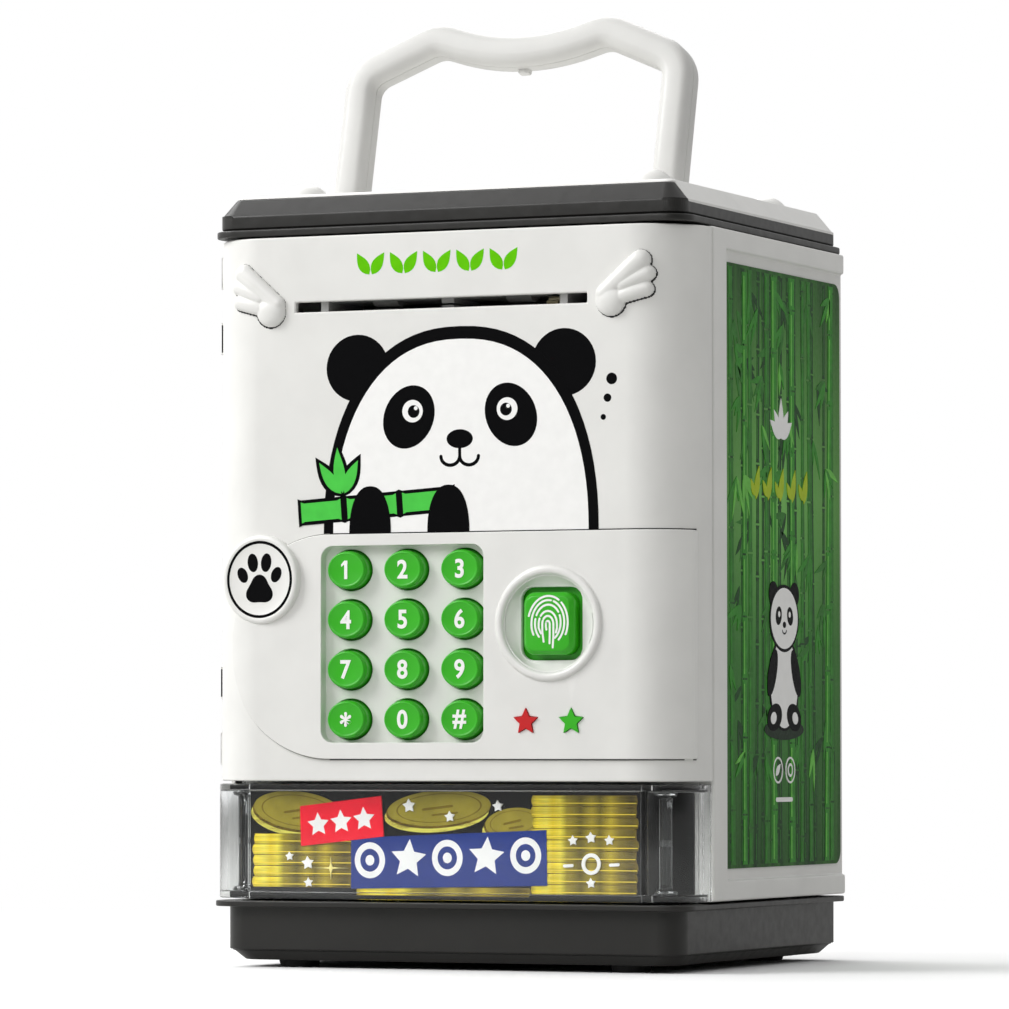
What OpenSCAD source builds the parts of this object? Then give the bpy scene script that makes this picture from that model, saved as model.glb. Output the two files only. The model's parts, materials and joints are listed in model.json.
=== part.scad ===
// Toy savings bank in the shape of a cash machine: a cabinet with a hinged front door, a keypad,
// a motor-driven note slot, a clear display window, a lid with a swinging carry handle and a base.
// Millimetres. X to the right, Y to the back, Z up. The origin is on the surface that the bank
// stands on, under the middle of its outer box.

/* [Cabinet] */
// Width over the casing's sides
body_w = 130; // [128:0.5:132]
// Height of the underside of the casing and of the window
casing_z0 = 17; // [16.8:0.1:17.2]
// Height of the top edge of the casing
casing_z1 = 180; // [179.8:0.1:180]
// Distance of the door's front face in front of the origin
front_y = 54.25; // [54:0.05:54.5]
// Distance of the casing's back face behind the origin
back_y = 56; // [55:0.5:56.5]
// Thickness of the moulded walls
wall = 2.2; // [2:0.1:2.4]

/* [Door] */
// Height of the door's bottom edge
door_z0 = 45.9; // [45.7:0.1:46.1]
// Height of the door's top edge
door_z1 = 179.7; // [179.4:0.1:179.7]
// Radius of the door's upright corners
door_r = 16; // [15.5:0.5:16]
// Width of the note slot
slot_w = 78; // [74:1:80]
// Height of the note slot's lower edge
slot_z0 = 161; // [161:0.1:161.2]
// Height of the note slot's upper edge
slot_z1 = 163.5; // [163.3:0.1:163.6]
// Travel of the latch bolt
bolt_travel = 4.5; // [4:0.1:4.8]

/* [Keypad] */
// Distance between the columns of keys
key_pitch_x = 15.25; // [15:0.05:15.3]
// Distance between the rows of keys
key_pitch_z = 12.17; // [12:0.01:12.3]
// Middle column of the keys
key_x = -9.25; // [-9.6:0.05:-9.2]
// Middle height of the keypad
key_z = 79.2; // [79:0.1:79.4]
// Diameter of a key cap
key_d = 9.7; // [9.4:0.1:9.8]
// Travel of a key
key_travel = 1.2; // [0.8:0.1:1.3]
// Travel of the fingerprint button
print_travel = 1.5; // [1:0.1:1.5]

/* [Lid and handle] */
// Height of the lid's top face
lid_z1 = 190.8; // [190.6:0.1:191]
// Backward lean of the handle at rest
handle_lean = 14; // [13:0.5:14]
// Distance between the middles of the handle's legs
handle_w = 87; // [86:0.5:87]
// Width of a handle leg
leg_w = 7.5; // [7:0.1:7.6]

/* [Base] */
// Height of the rubber feet
foot_h = 2; // [1.8:0.1:2.2]
// Height of the base's top edge
base_z1 = 16.4; // [16.2:0.1:16.4]

/* [Hidden] */
$fn = 64;
eps = 0.01;

// Colours
white = [0.88, 0.87, 0.85];
dark = [0.17, 0.165, 0.155];
black = [0.05, 0.05, 0.05];
grey = [0.72, 0.72, 0.71];
green = [0.24, 0.70, 0.13];
steel = [0.70, 0.70, 0.72];
board_green = [0.05, 0.32, 0.18];

half_w = body_w / 2;

// Casing: side walls with a recessed panel for the printed sheet
casing_inner_w = body_w - 7.4;
casing_front_y = -37.45;
hinge_side_front_y = -37.15;
rear_r = 5;
recess_depth = 1.75;
recess_y0 = -28.25;
recess_z0 = 21.9;
recess_z1 = 175.1;
print_t = 0.3;
print_margin = 2.8;

// Front frame behind the door
frame_y0 = -37.2;
frame_y1 = -35;
aperture_half = 52;
aperture_z0 = 50;
aperture_z1 = 173.5;
chamber_y0 = frame_y1 + 0.1;

// Door shell and its hinge on the left edge
door_edge_y = -38;
door_inner_y = -front_y + wall;
hinge_x = -half_w + 2.2;
hinge_y = -40.05;
knuckle_r = 2;
pin_r = 0.8;
pin_play = 0.05;
lug_z = [58, 160];
lug_h = 8;
knuckle_h = 7.7;
lug_gap = 0.3;

// Raised keypad panel on the door
panel_t = 0.9;
panel_front_y = -front_y - panel_t;
panel_z0 = 51.3;
panel_z1 = 106.2;
panel_r = (panel_z1 - panel_z0) / 2;
panel_x0 = -56.8;
panel_x1 = half_w - 1.2;
recess_x0 = -31.4;
recess_x1 = 12.1;
keys_z0 = 55.3;
keys_z1 = 103.3;
recess_floor_y = panel_front_y + 2.7;
floor_t = 1.5;
key_front_y = -front_y - 1.3;
key_flange_t = 1.2;
key_flange_d = key_d + 1.7;
key_hole_d = key_d + 1.1;
key_flange_y = recess_floor_y + floor_t + 0.3;
membrane_y = key_flange_y + key_flange_t + key_travel + 0.4;
board_y = membrane_y + 1.3;
board_t = 1.6;

// Fingerprint button in its round bowl
print_x = 29.4;
print_z = 83.9;
ring_r = 12.9;
ring_bead = 1.15;
bowl_r = 11.75;
bowl_floor_y = panel_front_y + 2.1;
print_hole = [15.9, 17.6];
print_face = [13.3, 15.1];
print_front_y = panel_front_y - 0.75;
print_flange = 2.8;

// Indicator stars
star_r = 3.25;
star_z = 60.3;
star_red_x = 23.4;
star_green_x = 35.3;

// Badge on the door's left corner
badge_x = -47.7;
badge_y = -54;
badge_z = 95.4;
badge_r = 10.9;
badge_t = 1.95;
badge_turn = 6.5;

// Wings at the ends of the note slot
wing_x = 45.4;
wing_z = 160.5;
wing_t = 2.2;

// Note feed behind the slot
feed_y = -44.5;
drive_z = 157.2;
drive_r = 4.9;
drive_shaft_r = 1.5;
nip_gap = 0.3;
pinch_r = 3.8;
pinch_z = drive_z + drive_r + nip_gap + pinch_r;
pinch_shaft_r = 1.25;
roller_x = 17.9;
roller_w = 6.7;
feed_half = 31;
feed_side_t = 2;
gear_module = 0.5;
gear_teeth = 24;
pinion_teeth = 8;
gear_x = feed_half - 5;
gear_w = 3;
gear_play = 0.12;
gear_angle = -36;
gear_distance = gear_module * (gear_teeth + pinion_teeth) / 2 + gear_play;
motor_y = feed_y + gear_distance * cos(gear_angle);
motor_z = drive_z + gear_distance * sin(gear_angle);
motor_r = 6;
motor_x0 = feed_half + feed_side_t + 0.2;
motor_l = 15;

// Liner that covers the works on the door's inside
liner_half = 50;
liner_z0 = 51.5;
liner_z1 = 172;
liner_back_y = -29;
liner_front_y = -43.4;
liner_t = 1.8;
post_x = 44;
post_z = [57.5, 140];

// Latch
bolt_z = 128;
bolt_size = [24, 3.4, 6];
bolt_x1 = 51;
bolt_y = -34.6;
solenoid_x0 = bolt_x1 - bolt_size[0] - 9;
solenoid_x1 = bolt_x1 - bolt_size[0] + bolt_travel + 6.5;

// Lid
flange_z0 = 180.3;
flange_z1 = 182;
groove_z1 = 182.4;
band_z1 = 185.5;
lid_inset = 4.2;
band_half = 62.4;
band_y0 = -51.65;
band_y1 = 55.75;
band_r = 5;
flange_half = 63.8;
flange_y0 = -53.05;
rear_max_y = badge_t * cos(badge_turn) + badge_r * sin(badge_turn) - badge_y;
flange_r = 7;
rim_t = 0.8;
lid_t = 2;
slope_end_y = band_y0 + band_r + 0.2;
stud_r = 6;
stud_h = 4.2;
stud_x = 46.7;
stud_y = [-32.2, 43.8];
coin_slot = [32, 3.4];
coin_y = 18;

// Handle
pivot_y = -14.7;
pivot_z = 184;
pivot_r = 2;
handle_front_t = 4;
handle_rear_t = 5;
leg_end_r = 4;
cheek_t = 2;
cheek_gap = 0.35;
pivot_rise = lid_z1 - pivot_z;
slot_half_y = pivot_rise * tan(handle_lean) + (handle_rear_t - 0.5) / cos(handle_lean) + 0.4;

// Window
window_half = 64.6;
window_y0 = -51.6;
window_y1 = -37.7;
window_rim = 1.6;
window_z1 = 45.2;
window_r = 10;
window_t = 1.8;
card_x0 = -53.4;
card_x1 = 51;
card_y = -48.8;
card_t = 0.4;
backing_half = 60.2;

// Base
base_half = 61;
base_y0 = -50.05;
base_y1 = rear_max_y - 0.5;
base_r = 6;
ledge_z0 = 15;
base_z0 = 1.8;
base_step_z = 4.4;
base_step = 0.6;
base_draw = 3;
ledge_half = 63.8;
foot_x = 44.5;
foot_y = [-40, 48];
foot_r = 5;
boss_x = 55;
boss_y = [-26, 32];
boss_r = 3.5;
lid_boss_z = 164;
screw_r = 1.4;

// Battery compartment
cell_r = 7.25;
cell_l = 50;
cell_pitch = 15;
cell_y = 12;
cell_x = 22;
cover_t = 1.5;
cell_z = base_z0 + cover_t + 0.5 + cell_r;
box_half = [29, 24.5];
box_top_z = cell_z + cell_r + 2;
floor_z0 = 21;
speaker_x = -36;

// Outline with round front corners rf and round rear corners rr
module plan(half, y0, y1, rf, rr) {
    translate([-half + rf, y0])
        square([2 * (half - rf), rf]);
    translate([-half, y0 + rf])
        square([2 * half, y1 - y0 - rf - rr]);
    translate([-half + rr, y1 - rr])
        square([2 * (half - rr), rr]);
    for (s = [-1, 1]) {
        translate([s * (half - rf), y0 + rf])
            circle(r = rf);
        translate([s * (half - rr), y1 - rr])
            circle(r = rr);
    }
}

// Outline with round front corners and an open, square rear
module front_plan(half, y0, y1, r) {
    intersection() {
        union() {
            translate([-half + r, y0])
                square([2 * (half - r), y1 - y0]);
            translate([-half, y0 + r])
                square([2 * half, y1 - y0 - r]);
            for (s = [-1, 1])
                translate([s * (half - r), y0 + r])
                    circle(r = r);
        }
        translate([-half, y0])
            square([2 * half, y1 - y0]);
    }
}

// Slab of an outline between two heights
module slab(z0, z1) {
    translate([0, 0, z0])
        linear_extrude(z1 - z0)
            children();
}

// Rounded rectangle in the XZ plane, from y0 back to y1
module front_block(x, z, w, h, r, y0, y1) {
    translate([x, y1, z])
        rotate([90, 0, 0])
            linear_extrude(y1 - y0) {
                square([w - 2 * r, h], center = true);
                square([w, h - 2 * r], center = true);
                for (sx = [-1, 1], sz = [-1, 1])
                    translate([sx * (w / 2 - r), sz * (h / 2 - r)])
                        circle(r = r);
            }
}

// Round bar along Y
module bar_y(x, z, r, y0, y1) {
    translate([x, y1, z])
        rotate([90, 0, 0])
            cylinder(h = y1 - y0, r = r);
}

// Round bar along X
module bar_x(y, z, r, x0, x1) {
    translate([x0, y, z])
        rotate([0, 90, 0])
            cylinder(h = x1 - x0, r = r);
}

// Box from its two corners
module block(a, b) {
    translate(a)
        cube(b - a);
}

// Screw that points along +Z, with its head's underside at z = 0
module screw(length, head_r = 2.6) {
    cylinder(h = length, r = screw_r);
    translate([0, 0, -1.6])
        difference() {
            cylinder(h = 1.6, r = head_r);
            for (a = [0, 90])
                rotate([0, 0, a])
                    translate([-1.6, -0.35, -eps])
                        cube([3.2, 0.7, 0.9]);
        }
}

// Toothed wheel of a given number of teeth, flat in XY
module toothed(teeth, thickness, bore_r, phase) {
    pitch_r = gear_module * teeth / 2;
    step = 360 / teeth;
    tip = pitch_r + 0.36;
    root = pitch_r - 0.6;
    profile = [
        for (i = [0:teeth - 1])
            for (p = [[root, -0.30], [tip, -0.14], [tip, 0.14], [root, 0.30]])
                [p[0] * cos((i + p[1]) * step + phase), p[0] * sin((i + p[1]) * step + phase)]
    ];
    difference() {
        linear_extrude(thickness)
            polygon(profile);
        translate([0, 0, -eps])
            cylinder(h = thickness + 2 * eps, r = bore_r);
    }
}

// Five-pointed star outline
module star_outline(r) {
    polygon([
        for (i = [0:9])
            let (a = 90 + 36 * i, q = i % 2 == 0 ? r : 0.48 * r)
                [q * cos(a), q * sin(a)]
    ]);
}

// Crown of the lid: a slab whose top is drawn in all round
module crown() {
    hull() {
        slab(band_z1, band_z1 + 0.02)
            plan(band_half, band_y0, band_y1, band_r, band_r);
        slab(lid_z1 - 0.02, lid_z1)
            plan(band_half - lid_inset, band_y0 + lid_inset, band_y1 - lid_inset, 1.6, 1.6);
    }
}

// Space inside the lid
module lid_space() {
    slab(flange_z1, lid_z1 - lid_t)
        plan(band_half - lid_inset - lid_t, band_y0 + lid_inset + lid_t,
            band_y1 - lid_inset - lid_t, 2, 2);
}

// Thin slice of the base at height z with its sides drawn in by inset
module base_slice(z, inset) {
    slab(z, z + 0.02)
        plan(base_half - inset, base_y0 + inset, base_y1 - inset, base_r, 3);
}

module base_tray() {
    color(dark)
        difference() {
            union() {
                slab(base_step_z, ledge_z0)
                    plan(base_half, base_y0, base_y1, base_r, 3);
                // Lower edge, drawn in under a fine step
                hull() {
                    base_slice(base_step_z - 0.02, base_step);
                    base_slice(base_z0, base_draw);
                }
                slab(ledge_z0, base_z1)
                    plan(ledge_half, flange_y0, rear_max_y, flange_r, 3.5);
            }
            slab(base_z0 + wall, base_z1 + eps)
                difference() {
                    plan(base_half - wall, base_y0 + wall, base_y1 - wall, base_r - wall, 1.5);
                    for (sx = [-1, 1], y = boss_y)
                        translate([sx * boss_x, y])
                            circle(r = boss_r);
                }
            for (sx = [-1, 1], y = boss_y)
                translate([sx * boss_x, y, base_z0 - eps]) {
                    cylinder(h = 20, r = screw_r + 0.1);
                    cylinder(h = 5 + 2 * eps, r = 2.8);
                }
            for (sx = [-1, 1], y = foot_y)
                translate([sx * foot_x, y, base_z0 - eps])
                    cylinder(h = 1, r = foot_r);
            block([cell_x - box_half[0] + 1, cell_y - box_half[1] + 1, 0],
                [cell_x + box_half[0] - 1, cell_y + box_half[1] - 1, 10]);
            for (a = [0:60:300], q = [4, 8, 12])
                translate([speaker_x + q * cos(a + 7 * q), cell_y + q * sin(a + 7 * q), 0])
                    cylinder(h = 10, r = 1);
            translate([cell_x, cell_y + box_half[1] + 2.6, base_z0 - eps])
                cylinder(h = 6, r = screw_r);
            block([cell_x - 6, cell_y + box_half[1] - 2, 0],
                [cell_x + 6, cell_y + box_half[1] + 5.8, base_z0 + cover_t]);
        }
}

module rubber_feet() {
    color(black)
        for (sx = [-1, 1], y = foot_y)
            translate([sx * foot_x, y, 0]) {
                cylinder(h = foot_h - 0.6, r1 = foot_r - 0.5, r2 = foot_r);
                translate([0, 0, foot_h - 0.6])
                    cylinder(h = base_z0 + 1 - foot_h + 0.6 - eps, r = foot_r);
            }
}

module battery_box() {
    color(dark)
        difference() {
            block([cell_x - box_half[0], cell_y - box_half[1], base_z0 + wall],
                [cell_x + box_half[0], cell_y + box_half[1], box_top_z]);
            block([cell_x - box_half[0] + 1.2, cell_y - box_half[1] + 1.2, 0],
                [cell_x + box_half[0] - 1.2, cell_y + box_half[1] - 1.2, box_top_z - 1.2]);
        }
}

module battery_cover() {
    color(dark)
        difference() {
            union() {
                block([cell_x - box_half[0] + 1.3, cell_y - box_half[1] + 1.3, base_z0],
                    [cell_x + box_half[0] - 1.3, cell_y + box_half[1] - 1.3, base_z0 + cover_t]);
                block([cell_x - 5.7, cell_y, base_z0],
                    [cell_x + 5.7, cell_y + box_half[1] + 5.5, base_z0 + cover_t - 0.1]);
            }
            translate([cell_x, cell_y + box_half[1] + 2.6, base_z0 - eps])
                cylinder(h = 4, r = screw_r + 0.1);
        }
}

module battery_cover_screw() {
    color(steel)
        translate([cell_x, cell_y + box_half[1] + 2.6, base_z0])
            screw(3.4, 2.2);
}

module battery_cells() {
    color([0.75, 0.72, 0.2])
        for (i = [-1:1])
            bar_x(cell_y + i * cell_pitch, cell_z, cell_r, cell_x - cell_l / 2, cell_x + cell_l / 2);
}

module battery_contacts() {
    color(steel)
        for (i = [-1:1], s = [-1, 1])
            translate([cell_x + s * (cell_l / 2 + 1.3), cell_y + i * cell_pitch, cell_z]) {
                cube([0.6, 10, 9], center = true);
                rotate([0, s > 0 ? -90 : 90, 0])
                    cylinder(h = 1.2, r1 = 4, r2 = 2);
            }
}

module speaker() {
    color(black)
        translate([speaker_x, cell_y, base_z0 + wall]) {
            cylinder(h = 2.4, r = 18);
            translate([0, 0, 2.4])
                cylinder(h = 3.6, r1 = 14, r2 = 9);
            translate([0, 0, 6])
                cylinder(h = 3, r = 8.5);
        }
}

module sound_board() {
    color(board_green)
        block([-48, -40, 8], [2, -18, 9.6]);
    color(black)
        block([-32, -34, 9.6], [-18, -24, 11.2]);
}

module chamber_floor() {
    color(white)
        difference() {
            block([-casing_inner_w / 2 + 0.2, chamber_y0, floor_z0],
                [casing_inner_w / 2 - 0.2, back_y - wall - 0.2, floor_z0 + 2]);
            for (sx = [-1, 1], y = boss_y)
                translate([sx * boss_x, y, floor_z0 - 1])
                    cylinder(h = 4, r = boss_r + 0.3);
        }
}

// Hinge lug of the casing: a barrel on an arm from the side wall's front edge
module casing_lug(z) {
    difference() {
        union() {
            translate([hinge_x, hinge_y, z])
                cylinder(h = lug_h, r = knuckle_r);
            block([hinge_x - knuckle_r, hinge_y, z],
                [-casing_inner_w / 2 - 0.05, hinge_side_front_y + 1, z + lug_h]);
        }
        translate([hinge_x, hinge_y, z - 1])
            cylinder(h = lug_h + 2, r = pin_r + pin_play);
    }
}

// Screw boss of the casing between z0 and z1, with a fin to the side wall between f0 and f1.
// sx = -1 on the left or 1 on the right.
module casing_boss(sx, y, z0, z1, f0, f1) {
    translate([sx * boss_x, y, z0])
        cylinder(h = z1 - z0, r = boss_r);
    translate([sx * (boss_x + 3.5), y, 0])
        block([-3.5, -0.8, f0], [3.5, 0.8, f1]);
}

module rear_casing() {
    color(white)
        difference() {
            union() {
                slab(casing_z0, casing_z1)
                    difference() {
                        translate([0, casing_front_y])
                            plan(half_w, 0, back_y - casing_front_y, 1, rear_r);
                        translate([-casing_inner_w / 2, casing_front_y - 1])
                            square([casing_inner_w, back_y - wall - casing_front_y + 1]);
                    }
                for (sx = [-1, 1], y = boss_y) {
                    casing_boss(sx, y, casing_z0, casing_z0 + 18, floor_z0 + 2.2, casing_z0 + 17);
                    casing_boss(sx, y, lid_boss_z, casing_z1, lid_boss_z, casing_z1 - 1);
                }
                // Ledges that carry the chamber's floor
                for (sx = [-1, 1])
                    translate([sx * (casing_inner_w / 2 - 0.5), 0, 0])
                        block([-1.5, chamber_y0, floor_z0 - 2], [1.5, back_y - wall, floor_z0]);
            }
            // Clearance of the door's hinge edge
            block([-half_w - 1, casing_front_y - 1, casing_z0 - 1],
                [-casing_inner_w / 2 + 0.5, hinge_side_front_y, casing_z1 + 1]);
            // Recessed side panels, open at the back
            for (s = [-1, 1])
                block([s > 0 ? half_w - recess_depth : -half_w - 1, recess_y0, recess_z0],
                    [s > 0 ? half_w + 1 : -half_w + recess_depth, back_y + 1, recess_z1]);
            // Screw bores, from below into the foot bosses and from below into the lid
            for (sx = [-1, 1], y = boss_y) {
                translate([sx * boss_x, y, casing_z0 - 1])
                    cylinder(h = 14, r = screw_r);
                translate([sx * boss_x, y, lid_boss_z - 4])
                    cylinder(h = 30, r = screw_r + 0.1);
            }
        }
    color(white)
        for (z = lug_z)
            casing_lug(z);
}

// Printed sheet on the recessed floor of one side, s = -1 left or 1 right
module side_print(s) {
    x = half_w - recess_depth;
    y1 = back_y - rear_r + 1.6;
    r = 3.5;
    w = y1 - recess_y0 - 0.3;
    h = recess_z1 - recess_z0 - 2 * print_margin;
    color(green)
        translate([s > 0 ? x : -x - print_t, (recess_y0 + 0.3 + y1) / 2, (recess_z0 + recess_z1) / 2])
            rotate([90, 0, 90])
                linear_extrude(print_t) {
                    square([w - 2 * r, h], center = true);
                    square([w, h - 2 * r], center = true);
                    for (a = [-1, 1], b = [-1, 1])
                        translate([a * (w / 2 - r), b * (h / 2 - r)])
                            circle(r = r);
                }
}

module side_print_left() {
    side_print(-1);
}

module side_print_right() {
    side_print(1);
}

module front_frame() {
    color(white)
        difference() {
            block([-casing_inner_w / 2 + 0.1, frame_y0, casing_z0],
                [casing_inner_w / 2 - 0.1, frame_y1, casing_z1 - 0.2]);
            block([-aperture_half, -40, aperture_z0], [aperture_half, -30, aperture_z1]);
            // Step that clears the door's left edge and the pins
            block([-casing_inner_w / 2, -40, door_z0 - 1], [-58.6, frame_y0 + 0.3, casing_z1]);
        }
}

module window_cover() {
    color([0.8, 0.85, 0.85, 0.4]) {
        slab(casing_z0, window_z1)
            difference() {
                front_plan(window_half, window_y0, window_y1, window_r);
                front_plan(window_half - window_t, window_y0 + window_t, window_y1 + 1,
                    window_r - window_t);
            }
        // Rims at the top and the bottom that close the gap round the card
        for (z = [casing_z0, window_z1 - window_rim])
            slab(z, z + window_rim)
                difference() {
                    front_plan(window_half - 0.5, window_y0 + 0.5, window_y1 - 1.3, window_r - 0.5);
                    translate([card_x0 - 0.4, card_y - 0.1])
                        square([card_x1 - card_x0 + 0.8, 20]);
                }
        // Upright ribs beside the card
        for (x = [card_x0 - 0.4 - window_rim, card_x1 + 0.4])
            block([x, window_y0 + 0.5, casing_z0], [x + window_rim, window_y1 - 1.3, window_z1]);
    }
}

module window_card() {
    color([0.8, 0.7, 0.2])
        block([card_x0, card_y, casing_z0 + 0.4], [card_x1, card_y + card_t, window_z1 - 0.4]);
}

module window_backing() {
    color(black)
        difference() {
            union() {
                block([card_x0, card_y + card_t, casing_z0], [card_x1, frame_y0 - 0.1, window_z1]);
                // Wings behind the ribs of the window
                block([-backing_half, window_y1 - 0.8, casing_z0 + 0.2],
                    [backing_half, frame_y0 - 0.1, window_z1 - 0.2]);
            }
            block([card_x0 + 1.5, card_y + card_t + 1.5, casing_z0 - 1],
                [card_x1 - 1.5, -36, window_z1 - 1.5]);
        }
}

module lid_frame() {
    color(dark)
        difference() {
            union() {
                slab(flange_z0, flange_z1)
                    plan(flange_half, flange_y0, rear_max_y - 0.3, flange_r, 5.5);
                slab(flange_z1, groove_z1)
                    plan(band_half - 0.6, band_y0 + 0.6, band_y1 - 0.6, band_r, band_r);
                slab(groove_z1, band_z1)
                    plan(band_half, band_y0, band_y1, band_r, band_r);
                intersection() {
                    crown();
                    block([-70, -70, band_z1 - 1], [70, slope_end_y, lid_z1 - rim_t]);
                }
            }
            lid_space();
            // Openings under the coin slot and round the handle's legs
            block([-coin_slot[0] / 2 - 1, coin_y - 4, 170], [coin_slot[0] / 2 + 1, coin_y + 4, 189]);
            for (s = [-1, 1])
                block([s * handle_w / 2 - leg_w / 2 - 0.4, pivot_y - 9, 170],
                    [s * handle_w / 2 + leg_w / 2 + 0.4, pivot_y + 9, 183]);
            // Blind bores for the lid's screws
            for (sx = [-1, 1], y = boss_y)
                translate([sx * boss_x, y, 170])
                    cylinder(h = 17.2, r = screw_r);
        }
    color(dark) {
        // Cheeks that carry the handle's pins
        for (s = [-1, 1], t = [-1, 1])
            difference() {
                translate([s * handle_w / 2 + t * (leg_w / 2 + cheek_gap + cheek_t / 2), pivot_y, 0])
                    block([-cheek_t / 2, -4, flange_z1 - eps], [cheek_t / 2, 4, 188]);
                bar_x(pivot_y, pivot_z, pivot_r, -60, 60);
            }
        // Bosses over the casing's screws
        for (sx = [-1, 1], y = boss_y)
            translate([sx * boss_x, y, 0])
                difference() {
                    translate([0, 0, flange_z1 - eps])
                        cylinder(h = 188.6 - flange_z1, r = boss_r);
                    cylinder(h = 187.2, r = screw_r);
                }
    }
}

module top_cover() {
    color(white)
        difference() {
            crown();
            block([-70, -70, band_z1 - 1], [70, slope_end_y, lid_z1 - rim_t]);
            lid_space();
            for (sx = [-1, 1], y = boss_y)
                translate([sx * boss_x, y, flange_z1])
                    cylinder(h = lid_z1 - lid_t - flange_z1, r = boss_r + 0.2);
            block([-coin_slot[0] / 2, coin_y - coin_slot[1] / 2, 180],
                [coin_slot[0] / 2, coin_y + coin_slot[1] / 2, 200]);
            for (s = [-1, 1])
                block([s * handle_w / 2 - leg_w / 2 - 0.4, pivot_y - slot_half_y, 180],
                    [s * handle_w / 2 + leg_w / 2 + 0.4, pivot_y + slot_half_y, 200]);
        }
}

module lid_studs() {
    ball_r = (stud_r * stud_r + stud_h * stud_h) / (2 * stud_h);
    color(white)
        for (s = [-1, 1], y = stud_y)
            translate([s * stud_x, y, lid_z1])
                intersection() {
                    translate([0, 0, stud_h - ball_r])
                        sphere(r = ball_r);
                    cylinder(h = stud_h + 1, r = stud_r + 1);
                }
}

module handle_pins() {
    l = leg_w / 2 + cheek_gap + cheek_t;
    color(steel)
        for (s = [-1, 1])
            bar_x(pivot_y, pivot_z, pivot_r, s * handle_w / 2 - l, s * handle_w / 2 + l);
}

module case_screws() {
    color(steel)
        for (sx = [-1, 1], y = boss_y) {
            translate([sx * boss_x, y, base_z0 + 5])
                screw(22);
            translate([sx * boss_x, y, lid_boss_z])
                screw(22);
        }
}

// Height of the grip's upper edge over the pivot line at distance x from the middle
function grip_top(x) =
    let (a = abs(x), peak = 23, dip = 4.2)
        a < peak ? 54.2 - dip * (1 + cos(180 * a / peak)) / 2
            : 54.2 - 12.5 * pow((a - peak) / 25, 1.45);

// Height of the grip's lower edge over the pivot line
function grip_bottom(x) =
    let (a = abs(x), peak = 23, dip = 2.4)
        a < peak ? 44.8 - dip * (1 + cos(180 * a / peak)) / 2
            : 44.8 - 4.6 * pow((a - peak) / 16.2, 1.3);

// Front view of the handle in its own plane, with the pivots at y = 0
module handle_outline() {
    outer = handle_w / 2 + leg_w / 2;
    inner = handle_w / 2 - leg_w / 2;
    polygon(concat(
        [for (i = [0:24]) let (x = -outer + 2 * outer * i / 24) [x, grip_top(x)]],
        [for (i = [0:24]) let (x = inner - 2 * inner * i / 24) [x, grip_bottom(x)]]
    ));
    for (s = [-1, 1]) {
        translate([s * handle_w / 2 - leg_w / 2, 0])
            square([leg_w, 42]);
    }
}

// One shell of the handle, between distances t0 and t1 behind its parting plane
module handle_shell(t0, t1) {
    translate([0, pivot_y, pivot_z])
        rotate([-handle_lean, 0, 0])
            difference() {
                union() {
                    intersection() {
                        translate([0, t1, 0])
                            rotate([90, 0, 0])
                                linear_extrude(t1 - t0)
                                    handle_outline();
                        block([-60, t0 - 1, 0], [60, t1 + 1, 70]);
                    }
                    intersection() {
                        for (s = [-1, 1])
                            bar_x(0, 0, leg_end_r, s * handle_w / 2 - leg_w / 2,
                                s * handle_w / 2 + leg_w / 2);
                        block([-60, t0, -5], [60, t1, 5]);
                    }
                }
                bar_x(0, 0, pivot_r + 0.08, -60, 60);
            }
}

module handle_front_shell() {
    color(white)
        handle_shell(-handle_front_t - 0.5, -0.5);
}

module handle_rear_shell() {
    color(white)
        handle_shell(-0.5, handle_rear_t - 0.5);
    color(white)
        translate([0, pivot_y, pivot_z])
            rotate([-handle_lean, 0, 0])
                block([-1.4, 0.6, 42.2], [1.4, 3.4, 43.4]);
}

// Door barrel of the hinge, joined to the door's side wall
module door_knuckle(z) {
    difference() {
        union() {
            translate([hinge_x, hinge_y, z])
                cylinder(h = knuckle_h, r = knuckle_r);
            block([hinge_x - 1, hinge_y - 5, z], [hinge_x + knuckle_r, hinge_y, z + knuckle_h]);
        }
        translate([hinge_x, hinge_y, z - 1])
            cylinder(h = knuckle_h + 2, r = pin_r);
    }
}

// Door outline whose left rear edge is rounded, so that it clears the casing as it swings
module door_outline() {
    difference() {
        front_plan(half_w, -front_y, door_edge_y, door_r);
        front_plan(half_w - wall, door_inner_y, door_edge_y + 1, door_r - wall);
        translate([-half_w - 1, door_edge_y - 1])
            square([2, 2]);
    }
    intersection() {
        translate([-half_w + 1, door_edge_y - 1])
            circle(r = 1);
        translate([-half_w, door_edge_y - 1])
            square([1.01, 1]);
    }
}

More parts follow.
